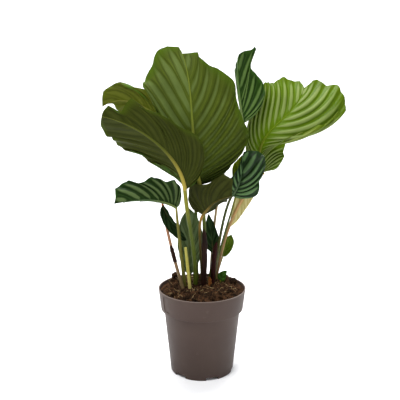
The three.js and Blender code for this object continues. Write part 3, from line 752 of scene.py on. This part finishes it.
LEAVES = {
    "centre": dict(
        midrib=[(-3, -26, 265), (-11, -40, 331), (-15, -40, 386), (-25, -26, 430)],
        face=[(0.1, 1, 0), (0.1, 1, 0)],
        edge=[
            [(16, 2), (34, 11), (45, 22), (57, 36), (68, 57), (68, 69), (63, 83), (56, 107),
             (55, 126), (44, 137), (38, 143, 1), (29, 148), (19, 159), (19, 165, 1), (12, 167)],
            [(20, 3), (38, 25), (46, 60), (42, 92), (47, 98), (51, 107), (55, 119), (63, 136),
             (66, 153), (64, 174), (54, 181), (41, 187), (30, 194), (15, 192, 1), (1, 182, 1),
             (0, 175)],
        ],
        fold=(8, 15), curl=(-10, 10), pleats=16, depth=(1.7, 0.8), ripple=2.5, waves=5, phase=1.0,
        foot=(2, 28), lean=(0, -0.2, 1), stalk=(3, 2.6, 2.4), stem="green",
        look=dict(tones="3f5a1c 8ea173 424e12 596834 435a0c 5f6a24 8c8838 222c04",
                  stop=1, start=0.1, wide=(0.4, 0.7), dark=(0.1, 0), deep=0.9, low=0.75),
    ),
    "front_left": dict(
        midrib=[(-22, -44, 262), (-37, -56, 302), (-72, -69, 336), (-119, -76, 356)],
        face=[(0, 1, 0.1), (0, 1, 0.1)],
        edge=[
            [(7, 3), (25, 15), (40, 33), (41, 51), (34, 65), (32, 81), (28, 99), (26, 112),
             (31, 123, 1), (22, 126), (11, 128), (9, 132), (14, 143, 1), (6, 147)],
            [(4, 23), (10, 31), (24, 47), (32, 51), (39, 58), (37, 69), (34, 77), (37, 87), (46, 98),
             (46, 111), (37, 121), (30, 128, 1), (32, 136), (25, 144), (15, 148)],
        ],
        fold=(10, 35), curl=(5, 5), pleats=12, depth=(1, 1), ripple=2, waves=4, phase=2.0,
        foot=(-9, 7), lean=(0.03, -0.2, 1), stalk=(3.5, 4.1, 2.7), stem="green",
        look=dict(tones="35501a 7f9565 2f350a 3a4016 3a4808 4c521c 9a8a3c 1c2104", wide=(0.35, 0.35)),
    ),
    "right": dict(
        midrib=[(85, 30, 273), (84, 26, 318), (113, 28, 350), (141, 54, 387)],
        face=[(0, -1, 0.3), (0, -1, 0.6)],
        edge=[
            [(8, 5), (19, 29), (24, 50), (29, 61), (39, 73), (49, 91), (53, 115, 1), (47, 133),
             (40, 145), (32, 153), (21, 152), (8, 156, 1), (3, 150)],
            [(7, 1), (14, -3), (25, 1), (33, 19), (29, 58), (24, 66), (26, 79), (30, 92), (37, 103),
             (48, 110), (52, 117), (53, 127), (64, 133, 1), (59, 142, 1), (51, 150), (42, 162, 1),
             (31, 158), (23, 161), (15, 165, 1), (9, 160, 1), (5, 152)],
        ],
        fold=(0, 10), curl=(0, -20), veins=(0.75, 2.2), pleats=20, depth=(1.5, 1.5), ripple=2.5, waves=5,
        phase=0.5, foot=(20, 30), lean=(0.13, 0, 1), reach=(0.67, 0.165), neck=(0.64, 0, 0.77),
        stalk=(2, 3.9, 2.1), stem="pale",
        look=dict(tones="4d6606 738147 6c7a2a 7a8546 4d6204 546a06 6b6a28 2e4004", deep=0.15, rough=0.36),
    ),
    "back_left": dict(
        midrib=[(-46, 42, 335), (-72, 36, 357), (-103, 38, 370), (-137, 46, 362)],
        face=[(0, 1, 0.1), (0, 1, 0.1)],
        edge=[
            [(10, 12), (18, 41), (22, 51), (19, 66), (18, 71), (25, 77, 1), (23, 82), (17, 95, 1),
             (10, 99)],
            [(12, 10), (24, 35), (26, 60), (19, 76), (20, 86), (13, 88), (4, 89), (1, 96)],
        ],
        fold=(0, 20), curl=(10, 20), pleats=11, depth=(1, 1), ripple=1.5, waves=3, phase=0.0,
        foot=(-7, 24), lean=(-0.05, 0.05, 1), stalk=(2.6, 2.3, 2), stem="green",
        look=dict(tones="4a6a1c 8fa56c 484f0c 565c1c 4a570b 5c5e22 8f8a45 343a0a", stop=0.95),
    ),
    "rolled": dict(
        midrib=[(54, 8, 341), (50, 10, 372), (47, 10, 403), (48, 9, 431)],
        face=[(0.3, -1, 0), (0.5, -0.8, 0.2)],
        edge=[
            [(8, 6), (12, 19), (14, 32), (24, 44), (24, 58), (10, 78)],
            [(7, 8), (13, 9), (26, 15), (37, 32), (39, 45), (35, 57), (23, 70), (20, 77), (20, 86),
             (24, 94), (28, 100, 1), (24, 103, 1), (18, 98), (7, 95)],
        ],
        fold=(-100, -8), curl=(-30, 10), veins=(0.4, 2.2), pleats=10, depth=(1, 1), ripple=0.8, waves=3,
        foot=(12, 36), lean=(0.045, -0.04, 1), neck=(0.45, -0.2, 0.9), stalk=(1.9, 1.9, 1.6), stem="tan",
        look=dict(tones="1e3806 5a743a 46582c 586a44 2c4c12 4f6a34 6f7f4c 122406", stop=0.98, rough=0.34),
    ),
    "low_left": dict(
        midrib=[(-34, -14, 232), (-59, -20, 243), (-86, -32, 246), (-112, -42, 244)],
        face=[(0, -0.8, 0.6), (0, -0.9, 0.4)],
        edge=[
            [(12, 8), (20, 25), (22, 45), (18, 65), (8, 80)],
            [(8, -1), (26, 5), (38, 12, 1), (31, 20), (34, 34, 1), (25, 46), (25, 55), (28, 62, 1),
             (25, 70), (19, 81, 1), (7, 83)],
        ],
        fold=(-110, 5), curl=(0, -20), pleats=11, depth=(1.2, 1.2), ripple=1.2, waves=4, phase=1.0,
        foot=(-24, 3), lean=(-0.07, -0.1, 1), reach=(0.45, 0.12), neck=(0, -0.2, 1),
        stalk=(2.9, 2.2, 1.5), stem="brown_green",
        look=dict(tones="182a0a 4f6038 4c5a34 5c6c48 203c12 3c5230 5f6a3a 0c1a06", stop=0.98, rough=0.34),
    ),
    "hanging": dict(
        midrib=[(-53, 8, 231), (-46, 2, 216), (-35, 1, 200), (-22, 4, 183)],
        face=[(-0.5, -0.8, 0.3), (-0.3, -0.8, 0.3)],
        edge=[
            [(6, 8), (8, 26), (6, 44), (2, 57)],
            [(7, 8), (10, 24), (9, 42), (4, 55)],
        ],
        fold=(30, 30), curl=(10, 10), pleats=5, depth=(0.6, 0.6), ripple=0.5, waves=3,
        foot=(-26.5, -6), lean=(-0.34, 0.15, 1), reach=(0.6, 0.12), stalk=(2.5, 1.4, 1.4), stem="orange",
        look=dict(tones="14240a 22361a 2c3a1c 36442a 182c0e 223216 4a4022 0a1604", stop=0.95),
    ),
    "low_centre": dict(
        midrib=[(1, -30, 226), (10, -38, 239), (19, -46, 248), (37, -52, 256)],
        face=[(0.3, 1, 0), (0.2, 1, 0)],
        edge=[
            [(12, 6), (20, 20), (20, 35), (10, 48)],
            [(4, 1), (10, -3), (20, -3), (29, 2), (36, 14), (35, 21), (26, 30), (25, 36),
             (29, 52, 1), (19, 61, 1), (9, 57)],
        ],
        fold=(70, 0), curl=(0, 10), pleats=8, depth=(0.8, 0.8), ripple=1, waves=3,
        foot=(0, 20), lean=(0, -0.2, 1), reach=(0.5, 0.12), stalk=(2.2, 2.4, 1.9), stem="orange_green",
        look=dict(tones="243a12 5a7048 282c0a 343813 343810 3f3a14 6a5a2c 151802", start=0.1),
    ),
    "low_right": dict(
        midrib=[(40, -2, 246), (50, -6, 268), (53, -6, 288), (55, 0, 305)],
        face=[(-0.35, -1, 0.2), (-0.2, -1, 0.3)],
        edge=[
            [(4, 0), (10, -3), (19, -5, 1), (17, 9), (13, 22), (8, 35), (3, 48)],
            [(14, 6), (27, 15), (28, 22), (25, 30), (28, 35), (30, 44), (29, 56), (25, 65), (18, 67),
             (8, 66)],
        ],
        fold=(20, 0), curl=(10, -20), pleats=9, depth=(1.1, 1.1), ripple=1, waves=3,
        foot=(17, 24), lean=(0.08, -0.1, 1), reach=(0.45, 0.12), stalk=(2.3, 2, 1.7), stem="dark_green",
        look=dict(tones="122a0a 587848 28381e 384a32 1c3a0e 304a2a 465a3a 081604", rough=0.3, gloss=0.18),
    ),
    "slim": dict(
        midrib=[(46, 5, 250), (48, 5, 266), (52, 5, 284), (58, 5, 303)],
        face=[(0, 1, 0), (0.1, 1, 0.2)],
        edge=[
            [(4, 7), (8, 20), (8, 36), (4, 49)],
            [(2, 7), (6, 14), (11, 32), (8, 41), (4, 49)],
        ],
        fold=(0, 0), curl=(8, 8), pleats=6, depth=(0.7, 0.7), ripple=0.8, waves=3,
        foot=(15.5, 30), lean=(0.17, -0.05, 1), reach=(0.45, 0.1), stalk=(1.6, 1.4, 1.3), stem="green",
        look=dict(tones="3a5418 6c7f48 8a9a1c 98a62c 8a9a14 98a03a 7c7c3c 2c380a", stop=0.95),
    ),
    "inner": dict(
        midrib=[(15, 23, 160), (14, 22, 179), (12, 22, 198), (9, 23, 216)],
        face=[(0, -1, 0.2), (0, -1, 0.2)],
        edge=[
            [(8, 8), (11, 20), (9, 36), (3, 52)],
            [(8, 8), (10, 20), (7, 36), (2, 52)],
        ],
        fold=(10, 10), curl=(0, 0), pleats=5, depth=(0.6, 0.6), ripple=0.5, waves=3,
        foot=(9, 25), lean=(0.1, -0.1, 1), stalk=(1.6, 1.4, 1.3), stem="green",
        look=dict(tones="16290c 2a4020 2c3a1a 3a4628 1e360e 2c3c1c 4a4a2a 0a1806", stop=0.95),
    ),
    "upright": dict(
        midrib=[(-17, 14, 131), (-18, 13, 160), (-18, 12, 193), (-18, 12, 227)],
        face=[(0, 1, 0), (0, 1, 0.1)],
        edge=[
            [(9, 8), (18, 30), (20, 55), (12, 82)],
            [(9, 8), (15, 30), (16, 55), (11, 80)],
        ],
        fold=(10, 10), curl=(10, 10), pleats=7, depth=(0.7, 0.7), ripple=0.8, waves=3,
        foot=(-15, 16), lean=(-0.1, -0.12, 1), stalk=(1.9, 1.7, 1.6), stem="green",
        look=dict(tones="223a10 4e6444 4c5c36 5e6e4a 46582a 4e5830 505430 1a260a", stop=0.95),
    ),
    "small_round": dict(
        midrib=[(30, 40, 150), (34, 40, 161), (38, 40, 171), (42, 41, 182)],
        face=[(0, -1, 0.2), (0, -1, 0.2)],
        edge=[
            [(5, 4), (8, 13), (6, 27)],
            [(4, 1), (7.5, 9), (8.5, 18), (6.5, 27)],
        ],
        fold=(10, 10), curl=(0, 0), pleats=4, depth=(0.4, 0.4), ripple=0.4, waves=2,
        foot=(21, 37), lean=(0.15, 0.05, 1), stalk=(1.2, 1.1, 1), stem="green",
        look=dict(tones="4a620f 546a1a 44541e 54622c 445e12 54621e 66662c 26400a", stop=0.9),
    ),
    "sprout": dict(
        midrib=[(26, 17, 122), (28, 16, 127), (31, 15, 132), (35, 14, 137)],
        face=[(-0.3, -0.8, 0.5), (-0.2, -0.8, 0.5)],
        edge=[
            [(5, 1), (7, 6), (4, 13)],
            [(5, 1), (7, 6), (4, 13)],
        ],
        fold=(15, 15), curl=(0, 0), pleats=3, depth=(0.2, 0.2), ripple=0.2, waves=2,
        foot=(26, 17.5), lean=(0, -0.02, 1), reach=(0.45, 0.1), stalk=(1.1, 1, 0.9), stem="green",
        look=dict(tones="2c4a10 406424 3a4a1c 485628 38560e 44581e 50582c 1c360a", stop=0.9),
    ),
}

# Petioles, as tones at the foot, half way up and under the blade
STEMS = {
    "green": ("4c5716", "43520c", "7c7a1e"),
    "dark_green": ("5c5a26", "3a4414", "343c12"),
    "brown_green": ("5a5a22", "66641f", "7d7634"),
    "tan": ("8a7a5a", "ae9468", "a89c54"),
    "pale": ("93744e", "bd9560", "b07c26"),
    "orange": ("655638", "b58262", "b85a28"),
    "orange_green": ("363a12", "54460f", "8f6a24"),
}

SOIL_CROWN = 119
FOOT_DEPTH = 16
REACH = (0.45, 0.3)
RIB_TIP = 0.35
KNEE = (0.84, 0.93)
GROOVE_FROM = 0.55
PETIOLE_STEPS = 48
PETIOLE_SIDES = 20


def petiole_control(leaf):
    """Control points of a petiole, from its foot in the soil into the line of its neck or the midrib."""
    control = through(leaf["midrib"])
    lean = Vector(leaf["lean"]).normalized()
    entry = Vector((*leaf["foot"], SOIL_CROWN)) * MM
    foot = entry - lean * FOOT_DEPTH * MM
    line = Vector(leaf.get("neck", control[1] - control[0])).normalized()
    end = control[0]
    rise, bow = leaf.get("reach", REACH)
    span = (end - foot).length
    return [foot, foot + lean * rise * span, end - line * bow * span, end]


def build_petiole_tree():
    g = Grower("petiole")
    control = g.inputs("Foot", "Foot handle", "Blade handle", "Blade", kind="Vector")
    radii = g.inputs("Foot radius", "Middle radius", "Blade radius")
    groove, knee = g.inputs("Groove", "Knee")
    steps, sides = g.inputs("Steps", "Sides", kind="Int")
    material = g.input("Material", "Material")
    line = g.bezier(control, steps)
    t = g.geometry("SplineParameter")
    radius = radii[0] * ((1 - t) * (1 - t * 2)) + radii[1] * (t * (1 - t) * 4) + radii[2] * (t * (t * 2 - 1))
    swelling = t.between(*KNEE) * (1 - t.between(KNEE[1], 1.0)) * knee
    line = g.store(line, "along", t)
    ring = g.store(g.ring(sides), "round", g.geometry("SplineParameter"))
    spot = g.geometry("InputPosition")
    dent = 1 - groove * spot.part("X").between(GROOVE_FROM, 1.0)
    stalk = g.swept(line, g.put(ring, spot * dent), radius * (1 + swelling))
    return g.finish(g.smoothed(stalk), material)


def grow_petiole(tree, name, control, radii, material, groove=0.12, knee=0.12):
    values = dict(zip(("Foot", "Foot handle", "Blade handle", "Blade"), (list(p) for p in control)))
    values.update(zip(("Foot radius", "Middle radius", "Blade radius"), (r * MM for r in radii)))
    values.update({"Groove": groove, "Knee": knee, "Steps": PETIOLE_STEPS, "Sides": PETIOLE_SIDES,
                   "Material": material})
    return tree.grow(name, values)


def add_leaves(blade_tree, petiole_tree):
    stems = {key: petiole_paint("petiole_" + key, *tones) for key, tones in STEMS.items()}
    for name, leaf in LEAVES.items():
        leaf = dict(leaf, rib=(leaf["stalk"][2], RIB_TIP))
        blade = grow_blade(blade_tree, name + "_leaf", leaf, leaf_paint(name + "_leaf", leaf["look"]))
        place(blade, "leaf_green", name + "_blade")
        petiole = grow_petiole(
            petiole_tree, name + "_stalk", petiole_control(leaf), leaf["stalk"], stems[leaf["stem"]])
        slot = "petiole_green" if "green" in leaf["stem"] else "petiole_tan"
        place(petiole, slot, name + "_petiole")


# Old sheaths, the cut stub and the pale wings. The wrapped sheath and the wings follow a petiole between
# two heights.

SHEATHS = {
    "sheath_dark": dict(
        spine=[(1.5, 2, 113), (3, -5, 144), (3.5, -12, 174), (2.5, -19, 206)], wide=8, curl=130,
        tones=("100704", "4a2c1e")),
    "sheath_maroon": dict(
        spine=[(14, 13, 113), (15.5, 10, 138), (17, 6, 160), (20, 3, 182)], wide=7.5, curl=130,
        tones=("1a0806", "52221a")),
    "sheath_base": dict(
        spine=[(11, 0, 114), (11, 0, 120), (11, 0, 126), (10, 0, 133)], wide=3.8, curl=110,
        tones=("6a3c18", "a8733a")),
}
WRAP = dict(start=154, stop=177, wide=6, curl=135, tones=("1c0d09", "46281c"))
WINGS = dict(
    start=196, stop=261,
    edge=[
        [(2.5, 14), (5.5, 27), (9, 37), (11, 47), (9, 60), (3, 74)],
        [(3, 2), (7.5, 11), (9.5, 20), (11, 30), (12, 47), (10, 60), (3, 74)],
    ])
STUB = dict(foot=(-16.3, -12, SOIL_CROWN), top=(-22.2, -13, 178), radii=(2.5, 2.8, 1.9),
            tones=("b3a86c", "aaa244", "a09a4a"), groove=0.25)
SHEATH_VEINS = (1, 1.6)
CURVE_STEPS = 500


def sheath_leaf(spine, wide, curl):
    """A sheath is a plain leaf, broad at its foot and pointed at its top, whose halves roll away."""
    height = length_of(through(spine)) / MM
    edge = [(0.75 * wide, 0.01 * height), (wide, 0.25 * height), (0.8 * wide, 0.6 * height),
            (0.35 * wide, 0.9 * height)]
    return dict(midrib=spine, face=[(0, 1, 0), (0, 1, 0)], edge=[edge, edge], fold=(0, 0),
                curl=(curl, curl), veins=SHEATH_VEINS, pleats=4, depth=(0.12, 0.12), ripple=0.4, waves=5,
                rib=(0.5, 0.2))


def points_between(control, start, stop, offset=0.0):
    """Four points of a curve at even steps between two heights, moved on by an offset along Y."""
    spots = [cubic(control, k / CURVE_STEPS) / MM for k in range(CURVE_STEPS + 1)]
    heights = [start + (stop - start) * k / 3 for k in range(4)]
    return [next(spot for spot in spots if spot.z >= height) + Vector((0, offset, 0)) for height in heights]


def wrap_spine():
    """The line of the sheath that is wrapped round the hanging leaf's petiole."""
    radius = WRAP["wide"] / math.radians(WRAP["curl"])
    return points_between(petiole_control(LEAVES["hanging"]), WRAP["start"], WRAP["stop"], -radius)


def add_sheaths(blade_tree):
    for name, sheath in {**SHEATHS, "sheath_wrap": dict(WRAP, spine=wrap_spine())}.items():
        leaf = sheath_leaf(sheath["spine"], sheath["wide"], sheath["curl"])
        paint = sheath_paint(name, *sheath["tones"])
        place(grow_blade(blade_tree, name + "_skin", leaf, paint), "dry_sheath", name)


def add_stub(petiole_tree):
    """The straight stub that is left of a cut petiole."""
    foot, top = Vector(STUB["foot"]) * MM, Vector(STUB["top"]) * MM
    foot = foot - (top - foot).normalized() * FOOT_DEPTH * MM
    control = [foot.lerp(top, k / 3) for k in range(4)]
    paint = petiole_paint("cut_stub", *STUB["tones"])
    stub = grow_petiole(petiole_tree, "stub", control, STUB["radii"], paint, STUB["groove"], 0)
    place(stub, "cut_stem", "cut_stub")


def add_wings(blade_tree):
    """The thin pale wings along the right leaf's petiole."""
    control = petiole_control(LEAVES["right"])
    leaf = dict(midrib=points_between(control, WINGS["start"], WINGS["stop"]),
                face=[(0, -1, 0.1), (0, -1, 0.3)], edge=WINGS["edge"], fold=(0, 0), curl=(0, 0),
                veins=SHEATH_VEINS, pleats=5, depth=(0.15, 0.15), ripple=0.5, waves=3, rib=(0.6, 0.4))
    wings = grow_blade(blade_tree, "right_wings", leaf, wing_paint())
    place(wings, "petiole_tan")


# The pot. A notch between its feet has a width and a height, and the panel sunk in its rim band a width,
# a depth and a margin above and below. Turns are in degrees round Z, from X.

RIM_RADIUS = 60
POT_HEIGHT = 118
BAND_HEIGHT = 29
BAND_LOW_RADIUS = 56.5
BODY_TOP_RADIUS = 52.5
BASE_RADIUS = 43.5
WALL = 1.6
FLOOR_UNDER = 5
FLOOR_THICK = 1.8
HUB_RADIUS = 11
DRAIN_RADIUS = 4
DRAIN_RING = 27
DRAIN_COUNT = 6
NOTCH = (17, 4)
NOTCH_TURN = 288
PANEL = (12, 0.9, 4)
PANEL_TURN = 214
POT_SIDES = 192
POT_SHARP_EDGE = 40
BAND_LOW = POT_HEIGHT - BAND_HEIGHT
FLOOR_TOP = FLOOR_UNDER + FLOOR_THICK


def body_radius(z):
    return BASE_RADIUS + (BODY_TOP_RADIUS - BASE_RADIUS) * z / BAND_LOW


def rounded(corners, steps=4):
    """A profile whose corners, given as (radius, height, rounding), are turned into arcs."""
    points = []
    for i, (x, z, soft) in enumerate(corners):
        here = Vector((x, z))
        if not soft:
            points.append(here)
            continue
        before, after = Vector(corners[i - 1][:2]), Vector(corners[(i + 1) % len(corners)][:2])
        start = here + (before - here).normalized() * soft
        end = here + (after - here).normalized() * soft
        for k in range(steps + 1):
            t = k / steps
            points.append(start * (1 - t) ** 2 + here * 2 * t * (1 - t) + end * t ** 2)
    return points


def lathe(name, profile, sides):
    """A solid turned round Z from a profile whose first and last points lie on the axis."""
    shape = bmesh.new()
    rings = []
    for point in profile:
        radius, height = point[0] * MM, point[1] * MM
        if radius < 1e-6:
            rings.append([shape.verts.new((0, 0, height))] * sides)
            continue
        turns = [2 * math.pi * k / sides for k in range(sides)]
        rings.append([shape.verts.new((radius * math.cos(a), radius * math.sin(a), height)) for a in turns])
    for low, high in zip(rings, rings[1:]):
        for k in range(sides):
            corners = [low[k], low[k - 1], high[k - 1], high[k]]
            face = list(dict.fromkeys(corners))
            if len(face) > 2:
                shape.faces.new(face)
    return solid(name, shape)


def cutters(name):
    """The drain holes, the notches between the feet and the recess in the band, as one object."""
    shape = bmesh.new()
    for k in range(DRAIN_COUNT):
        turn = 2 * math.pi * k / DRAIN_COUNT
        made = bmesh.ops.create_cone(
            shape, cap_ends=True, segments=32, radius1=DRAIN_RADIUS * MM, radius2=DRAIN_RADIUS * MM,
            depth=4 * FLOOR_THICK * MM)["verts"]
        spot = Vector((DRAIN_RING * math.cos(turn), DRAIN_RING * math.sin(turn), FLOOR_UNDER))
        bmesh.ops.translate(shape, verts=made, vec=spot * MM)
        box(shape, (5 * WALL, NOTCH[0], 2 * NOTCH[1]), (BASE_RADIUS, 0, 0), turn + math.radians(NOTCH_TURN))
    wide, deep, margin = PANEL
    lean = math.atan2(RIM_RADIUS - BAND_LOW_RADIUS, BAND_HEIGHT)
    middle = (RIM_RADIUS + BAND_LOW_RADIUS) / 2 + deep
    box(shape, (4 * deep, wide, BAND_HEIGHT - 2 * margin), (middle, 0, POT_HEIGHT - BAND_HEIGHT / 2),
        math.radians(PANEL_TURN), lean)
    return solid(name, shape)


def box(shape, sizes, spot, turn, lean=0.0):
    """Adds a box that leans about Y, then stands out along a turn round Z."""
    made = bmesh.ops.create_cube(shape, size=1)["verts"]
    matrix = (Matrix.Rotation(turn, 4, "Z") @ Matrix.Translation(Vector(spot) * MM)
              @ Matrix.Rotation(lean, 4, "Y") @ Matrix.Diagonal((*(s * MM for s in sizes), 1)))
    bmesh.ops.transform(shape, matrix=matrix, verts=made)


def add_pot():
    step = BAND_LOW + WALL
    corners = [
        (0, 0, 0), (HUB_RADIUS, 0, 0.6), (HUB_RADIUS, FLOOR_UNDER, 0.6),
        (body_radius(FLOOR_UNDER) - WALL, FLOOR_UNDER, 0.6), (BASE_RADIUS - WALL, 0, 0.5),
        (BASE_RADIUS, 0, 0.6), (BODY_TOP_RADIUS, BAND_LOW, 0.5), (BAND_LOW_RADIUS, BAND_LOW, 0.7),
        (RIM_RADIUS - 0.2, POT_HEIGHT - 1.5, 0.3), (RIM_RADIUS, POT_HEIGHT - 1.2, 0.3),
        (RIM_RADIUS, POT_HEIGHT, 0.55), (RIM_RADIUS - WALL, POT_HEIGHT, 0.55),
        (BAND_LOW_RADIUS - WALL, step, 0.8), (BODY_TOP_RADIUS - WALL, step, 0.8),
        (body_radius(FLOOR_TOP) - WALL, FLOOR_TOP, 2.0), (0, FLOOR_TOP, 0),
    ]
    pot = lathe("pot_body", rounded(corners), POT_SIDES)
    cuts = cutters("pot_cuts")
    cut = pot.modifiers.new("cut", "BOOLEAN")
    cut.operation = "DIFFERENCE"
    cut.solver = "EXACT"
    cut.object = cuts
    depsgraph = bpy.context.evaluated_depsgraph_get()
    mesh = bpy.data.meshes.new_from_object(pot.evaluated_get(depsgraph))
    pot.modifiers.clear()
    pot.data = mesh
    bpy.data.objects.remove(cuts)
    mesh.shade_smooth()
    mesh.set_sharp_from_angle(angle=math.radians(POT_SHARP_EDGE))
    mesh.materials.clear()
    mesh.materials.append(plastic_paint())
    place(pot, "pot_plastic", "pot")


# The peat

SOIL_EDGE = 113.5
SOIL_GAP = 0.6
LUMP_HIGH = 1.5
CLODS = [(-37, 26, 12, 8), (33, 30, 7, 12), (-18, -30, 3, 9), (20, -28, 4, 12), (0, -40, 3, 9)]
SOIL_CALM = 8
SOIL_RINGS = 56
SOIL_TURNS = 168
COARSE = 9
FINE = 4
FULL_TURN = 6.28

# Crumbs: how many to a square metre, smallest, largest, jag, least top, detail and seed. Fibres: how
# many to a square metre, shortest, longest, thickness, bend, least top and seed. Nothing is strewn where
# the attribute top, which falls to 0 at the peat's edge, isn't over the least top.
CRUMBS = {
    "crumbs_small": (60000.0, 0.6, 1.9, 1.0, 0.25, 1, 3),
    "crumbs_large": (9000.0, 1.8, 6.5, 3.4, 0.95, 2, 8),
}
FIBRES = (9000.0, 6, 20, 0.22, 7, 0.9, 5)


def soil_height(x, y):
    """Height of the lumpy peat at a place: a low crown, small lumps and a few clods."""
    r = math.hypot(x, y) / (RIM_RADIUS - WALL)
    height = SOIL_CROWN + (SOIL_EDGE - SOIL_CROWN) * r ** 3
    ripple = math.sin(0.37 * x + 1.3 * math.sin(0.21 * y)) * math.sin(0.41 * y + 0.7)
    height += LUMP_HIGH * (1 - 0.6 * r) * ripple
    for cx, cy, high, wide in CLODS:
        height += high * math.exp(-((x - cx) ** 2 + (y - cy) ** 2) / wide ** 2)
    return height


def soil_seed():
    """The body of the peat: its lumpy top, its wall inside the band and a flat underside."""
    share = (SOIL_EDGE - BAND_LOW) / BAND_HEIGHT
    edge = BAND_LOW_RADIUS + (RIM_RADIUS - BAND_LOW_RADIUS) * share - WALL - SOIL_GAP
    low_edge = BAND_LOW_RADIUS - WALL - SOIL_GAP
    rings = [(edge * k / SOIL_RINGS, None) for k in range(1, SOIL_RINGS + 1)]
    rings += [(low_edge, BAND_LOW + WALL + SOIL_GAP)]
    points = [(0, 0, soil_height(0, 0) * MM)]
    for radius, height in rings:
        for k in range(SOIL_TURNS):
            turn = 2 * math.pi * k / SOIL_TURNS
            x, y = radius * math.cos(turn), radius * math.sin(turn)
            z = soil_height(x, y) if height is None else height
            points.append((x * MM, y * MM, z * MM))
    faces = [(0, 1 + k, 1 + (k + 1) % SOIL_TURNS) for k in range(SOIL_TURNS)]
    for i in range(len(rings) - 1):
        a, b = 1 + i * SOIL_TURNS, 1 + (i + 1) * SOIL_TURNS
        for k in range(SOIL_TURNS):
            n = (k + 1) % SOIL_TURNS
            faces.append((a + k, b + k, b + n, a + n))
    last = 1 + (len(rings) - 1) * SOIL_TURNS
    faces.append(tuple(last + k for k in reversed(range(SOIL_TURNS))))
    top = [min(1.0, (edge - math.hypot(x, y) / MM) / SOIL_CALM) if z > 0.1 else 0.0 for x, y, z in points]
    return mesh_of("soil_seed", points, [], faces, top=top)


def build_peat_tree():
    """The peat's body, shaken up and down on its top."""
    g = Grower("peat")
    seed = g.input("Body", "Geometry")
    coarse, fine = g.inputs("Coarse", "Fine")
    material = g.input("Material", "Material")
    spot = g.geometry("InputPosition")
    rough = (g.noise(spot, 95.0, 2.0) - 0.5) * coarse + (g.noise(spot, 380.0, 3.0, 0.7) - 0.5) * fine
    body = g.move(seed, g.join(0.0, 0.0, rough * g.named("top")))
    smooth = g.geometry("SetShadeSmooth", {}, {0: body, "Shade Smooth": True})
    return g.finish(smooth, material)


def build_crumb_tree():
    """Crumbs strewn on the peat: small lumps, each turned and stretched its own way."""
    g = Grower("crumbs")
    seed = g.input("Body", "Geometry")
    density, small, large, jag, least = g.inputs("Density", "Smallest", "Largest", "Jag", "Least top")
    detail = g.input("Detail", "Int")
    number = g.input("Seed", "Int")
    material = g.input("Material", "Material")
    lump = g.geometry("MeshIcoSphere", {}, {"Radius": 1.0, "Subdivisions": detail})
    turn = g.random((0.0, 0.0, 0.0), (FULL_TURN, FULL_TURN, FULL_TURN), number)
    stretch = g.random((0.5, 0.5, 0.4), (1.3, 1.1, 0.9), number + 1)
    size = g.random(0.0, 1.0, number + 2)
    scale = stretch * (small + (large - small) * size ** 3.0)
    real = g.strewn(seed, least, density, number, lump, turn, scale)
    spot = g.geometry("InputPosition")
    shake = (g.noise(spot, 700.0, 2.0, 0.5, "Color") - (0.5, 0.5, 0.5)) * jag
    rough = g.move(real, shake)
    return g.finish(rough, material)


def build_fibre_tree():
    """Straw fibres that lie on the peat, each bent its own way."""
    g = Grower("fibres")
    seed = g.input("Body", "Geometry")
    density, short, long, thick, bend, least = g.inputs(
        "Density", "Shortest", "Longest", "Thickness", "Bend", "Least top")
    number = g.input("Seed", "Int")
    material = g.input("Material", "Material")
    straw = g.geometry("CurvePrimitiveLine", {}, {"Start": (-0.5, 0.0, 0.0), "End": (0.5, 0.0, 0.0)})
    straw = g.geometry("ResampleCurve", {}, {0: straw, "Count": 9})
    turn = g.random((-0.35, -0.45, 0.0), (0.35, 0.45, FULL_TURN), number)
    size = g.random(short, long, number + 1)
    real = g.strewn(seed, least, density, number, straw, turn, g.join(size, size, size))
    spot = g.geometry("InputPosition")
    real = g.move(real, (g.noise(spot, 110.0, 1.0, 0.5, "Color") - (0.5, 0.5, 0.42)) * bend)
    t = g.geometry("SplineParameter")
    width = thick * (1 - (t - 0.5).size() * 1.4)
    return g.finish(g.swept(real, g.ring(4), width), material)


def add_peat():
    peat = peat_paint()
    values = {"Coarse": COARSE * MM, "Fine": FINE * MM, "Material": peat}
    body = build_peat_tree().grow("peat_body", values, soil_seed())
    place(body, "peat", "soil")
    crumbs = build_crumb_tree()
    for name, (density, small, large, jag, least, detail, seed) in CRUMBS.items():
        values = {"Density": density, "Smallest": small * MM, "Largest": large * MM, "Jag": jag * MM,
                  "Least top": least, "Detail": detail, "Seed": seed, "Material": peat}
        place(crumbs.grow("peat_" + name, values, body.data.copy()), "peat")
    density, short, long, thick, bend, least, seed = FIBRES
    values = {"Density": density, "Shortest": short * MM, "Longest": long * MM, "Thickness": thick * MM,
              "Bend": bend * MM, "Least top": least, "Seed": seed, "Material": fibre_paint()}
    place(build_fibre_tree().grow("peat_fibres", values, body.data.copy()), "peat")


add_camera()
add_studio()
blades = build_blade_tree()
petioles = build_petiole_tree()
add_leaves(blades, petioles)
add_sheaths(blades)
add_stub(petioles)
add_wings(blades)
add_pot()
add_peat()
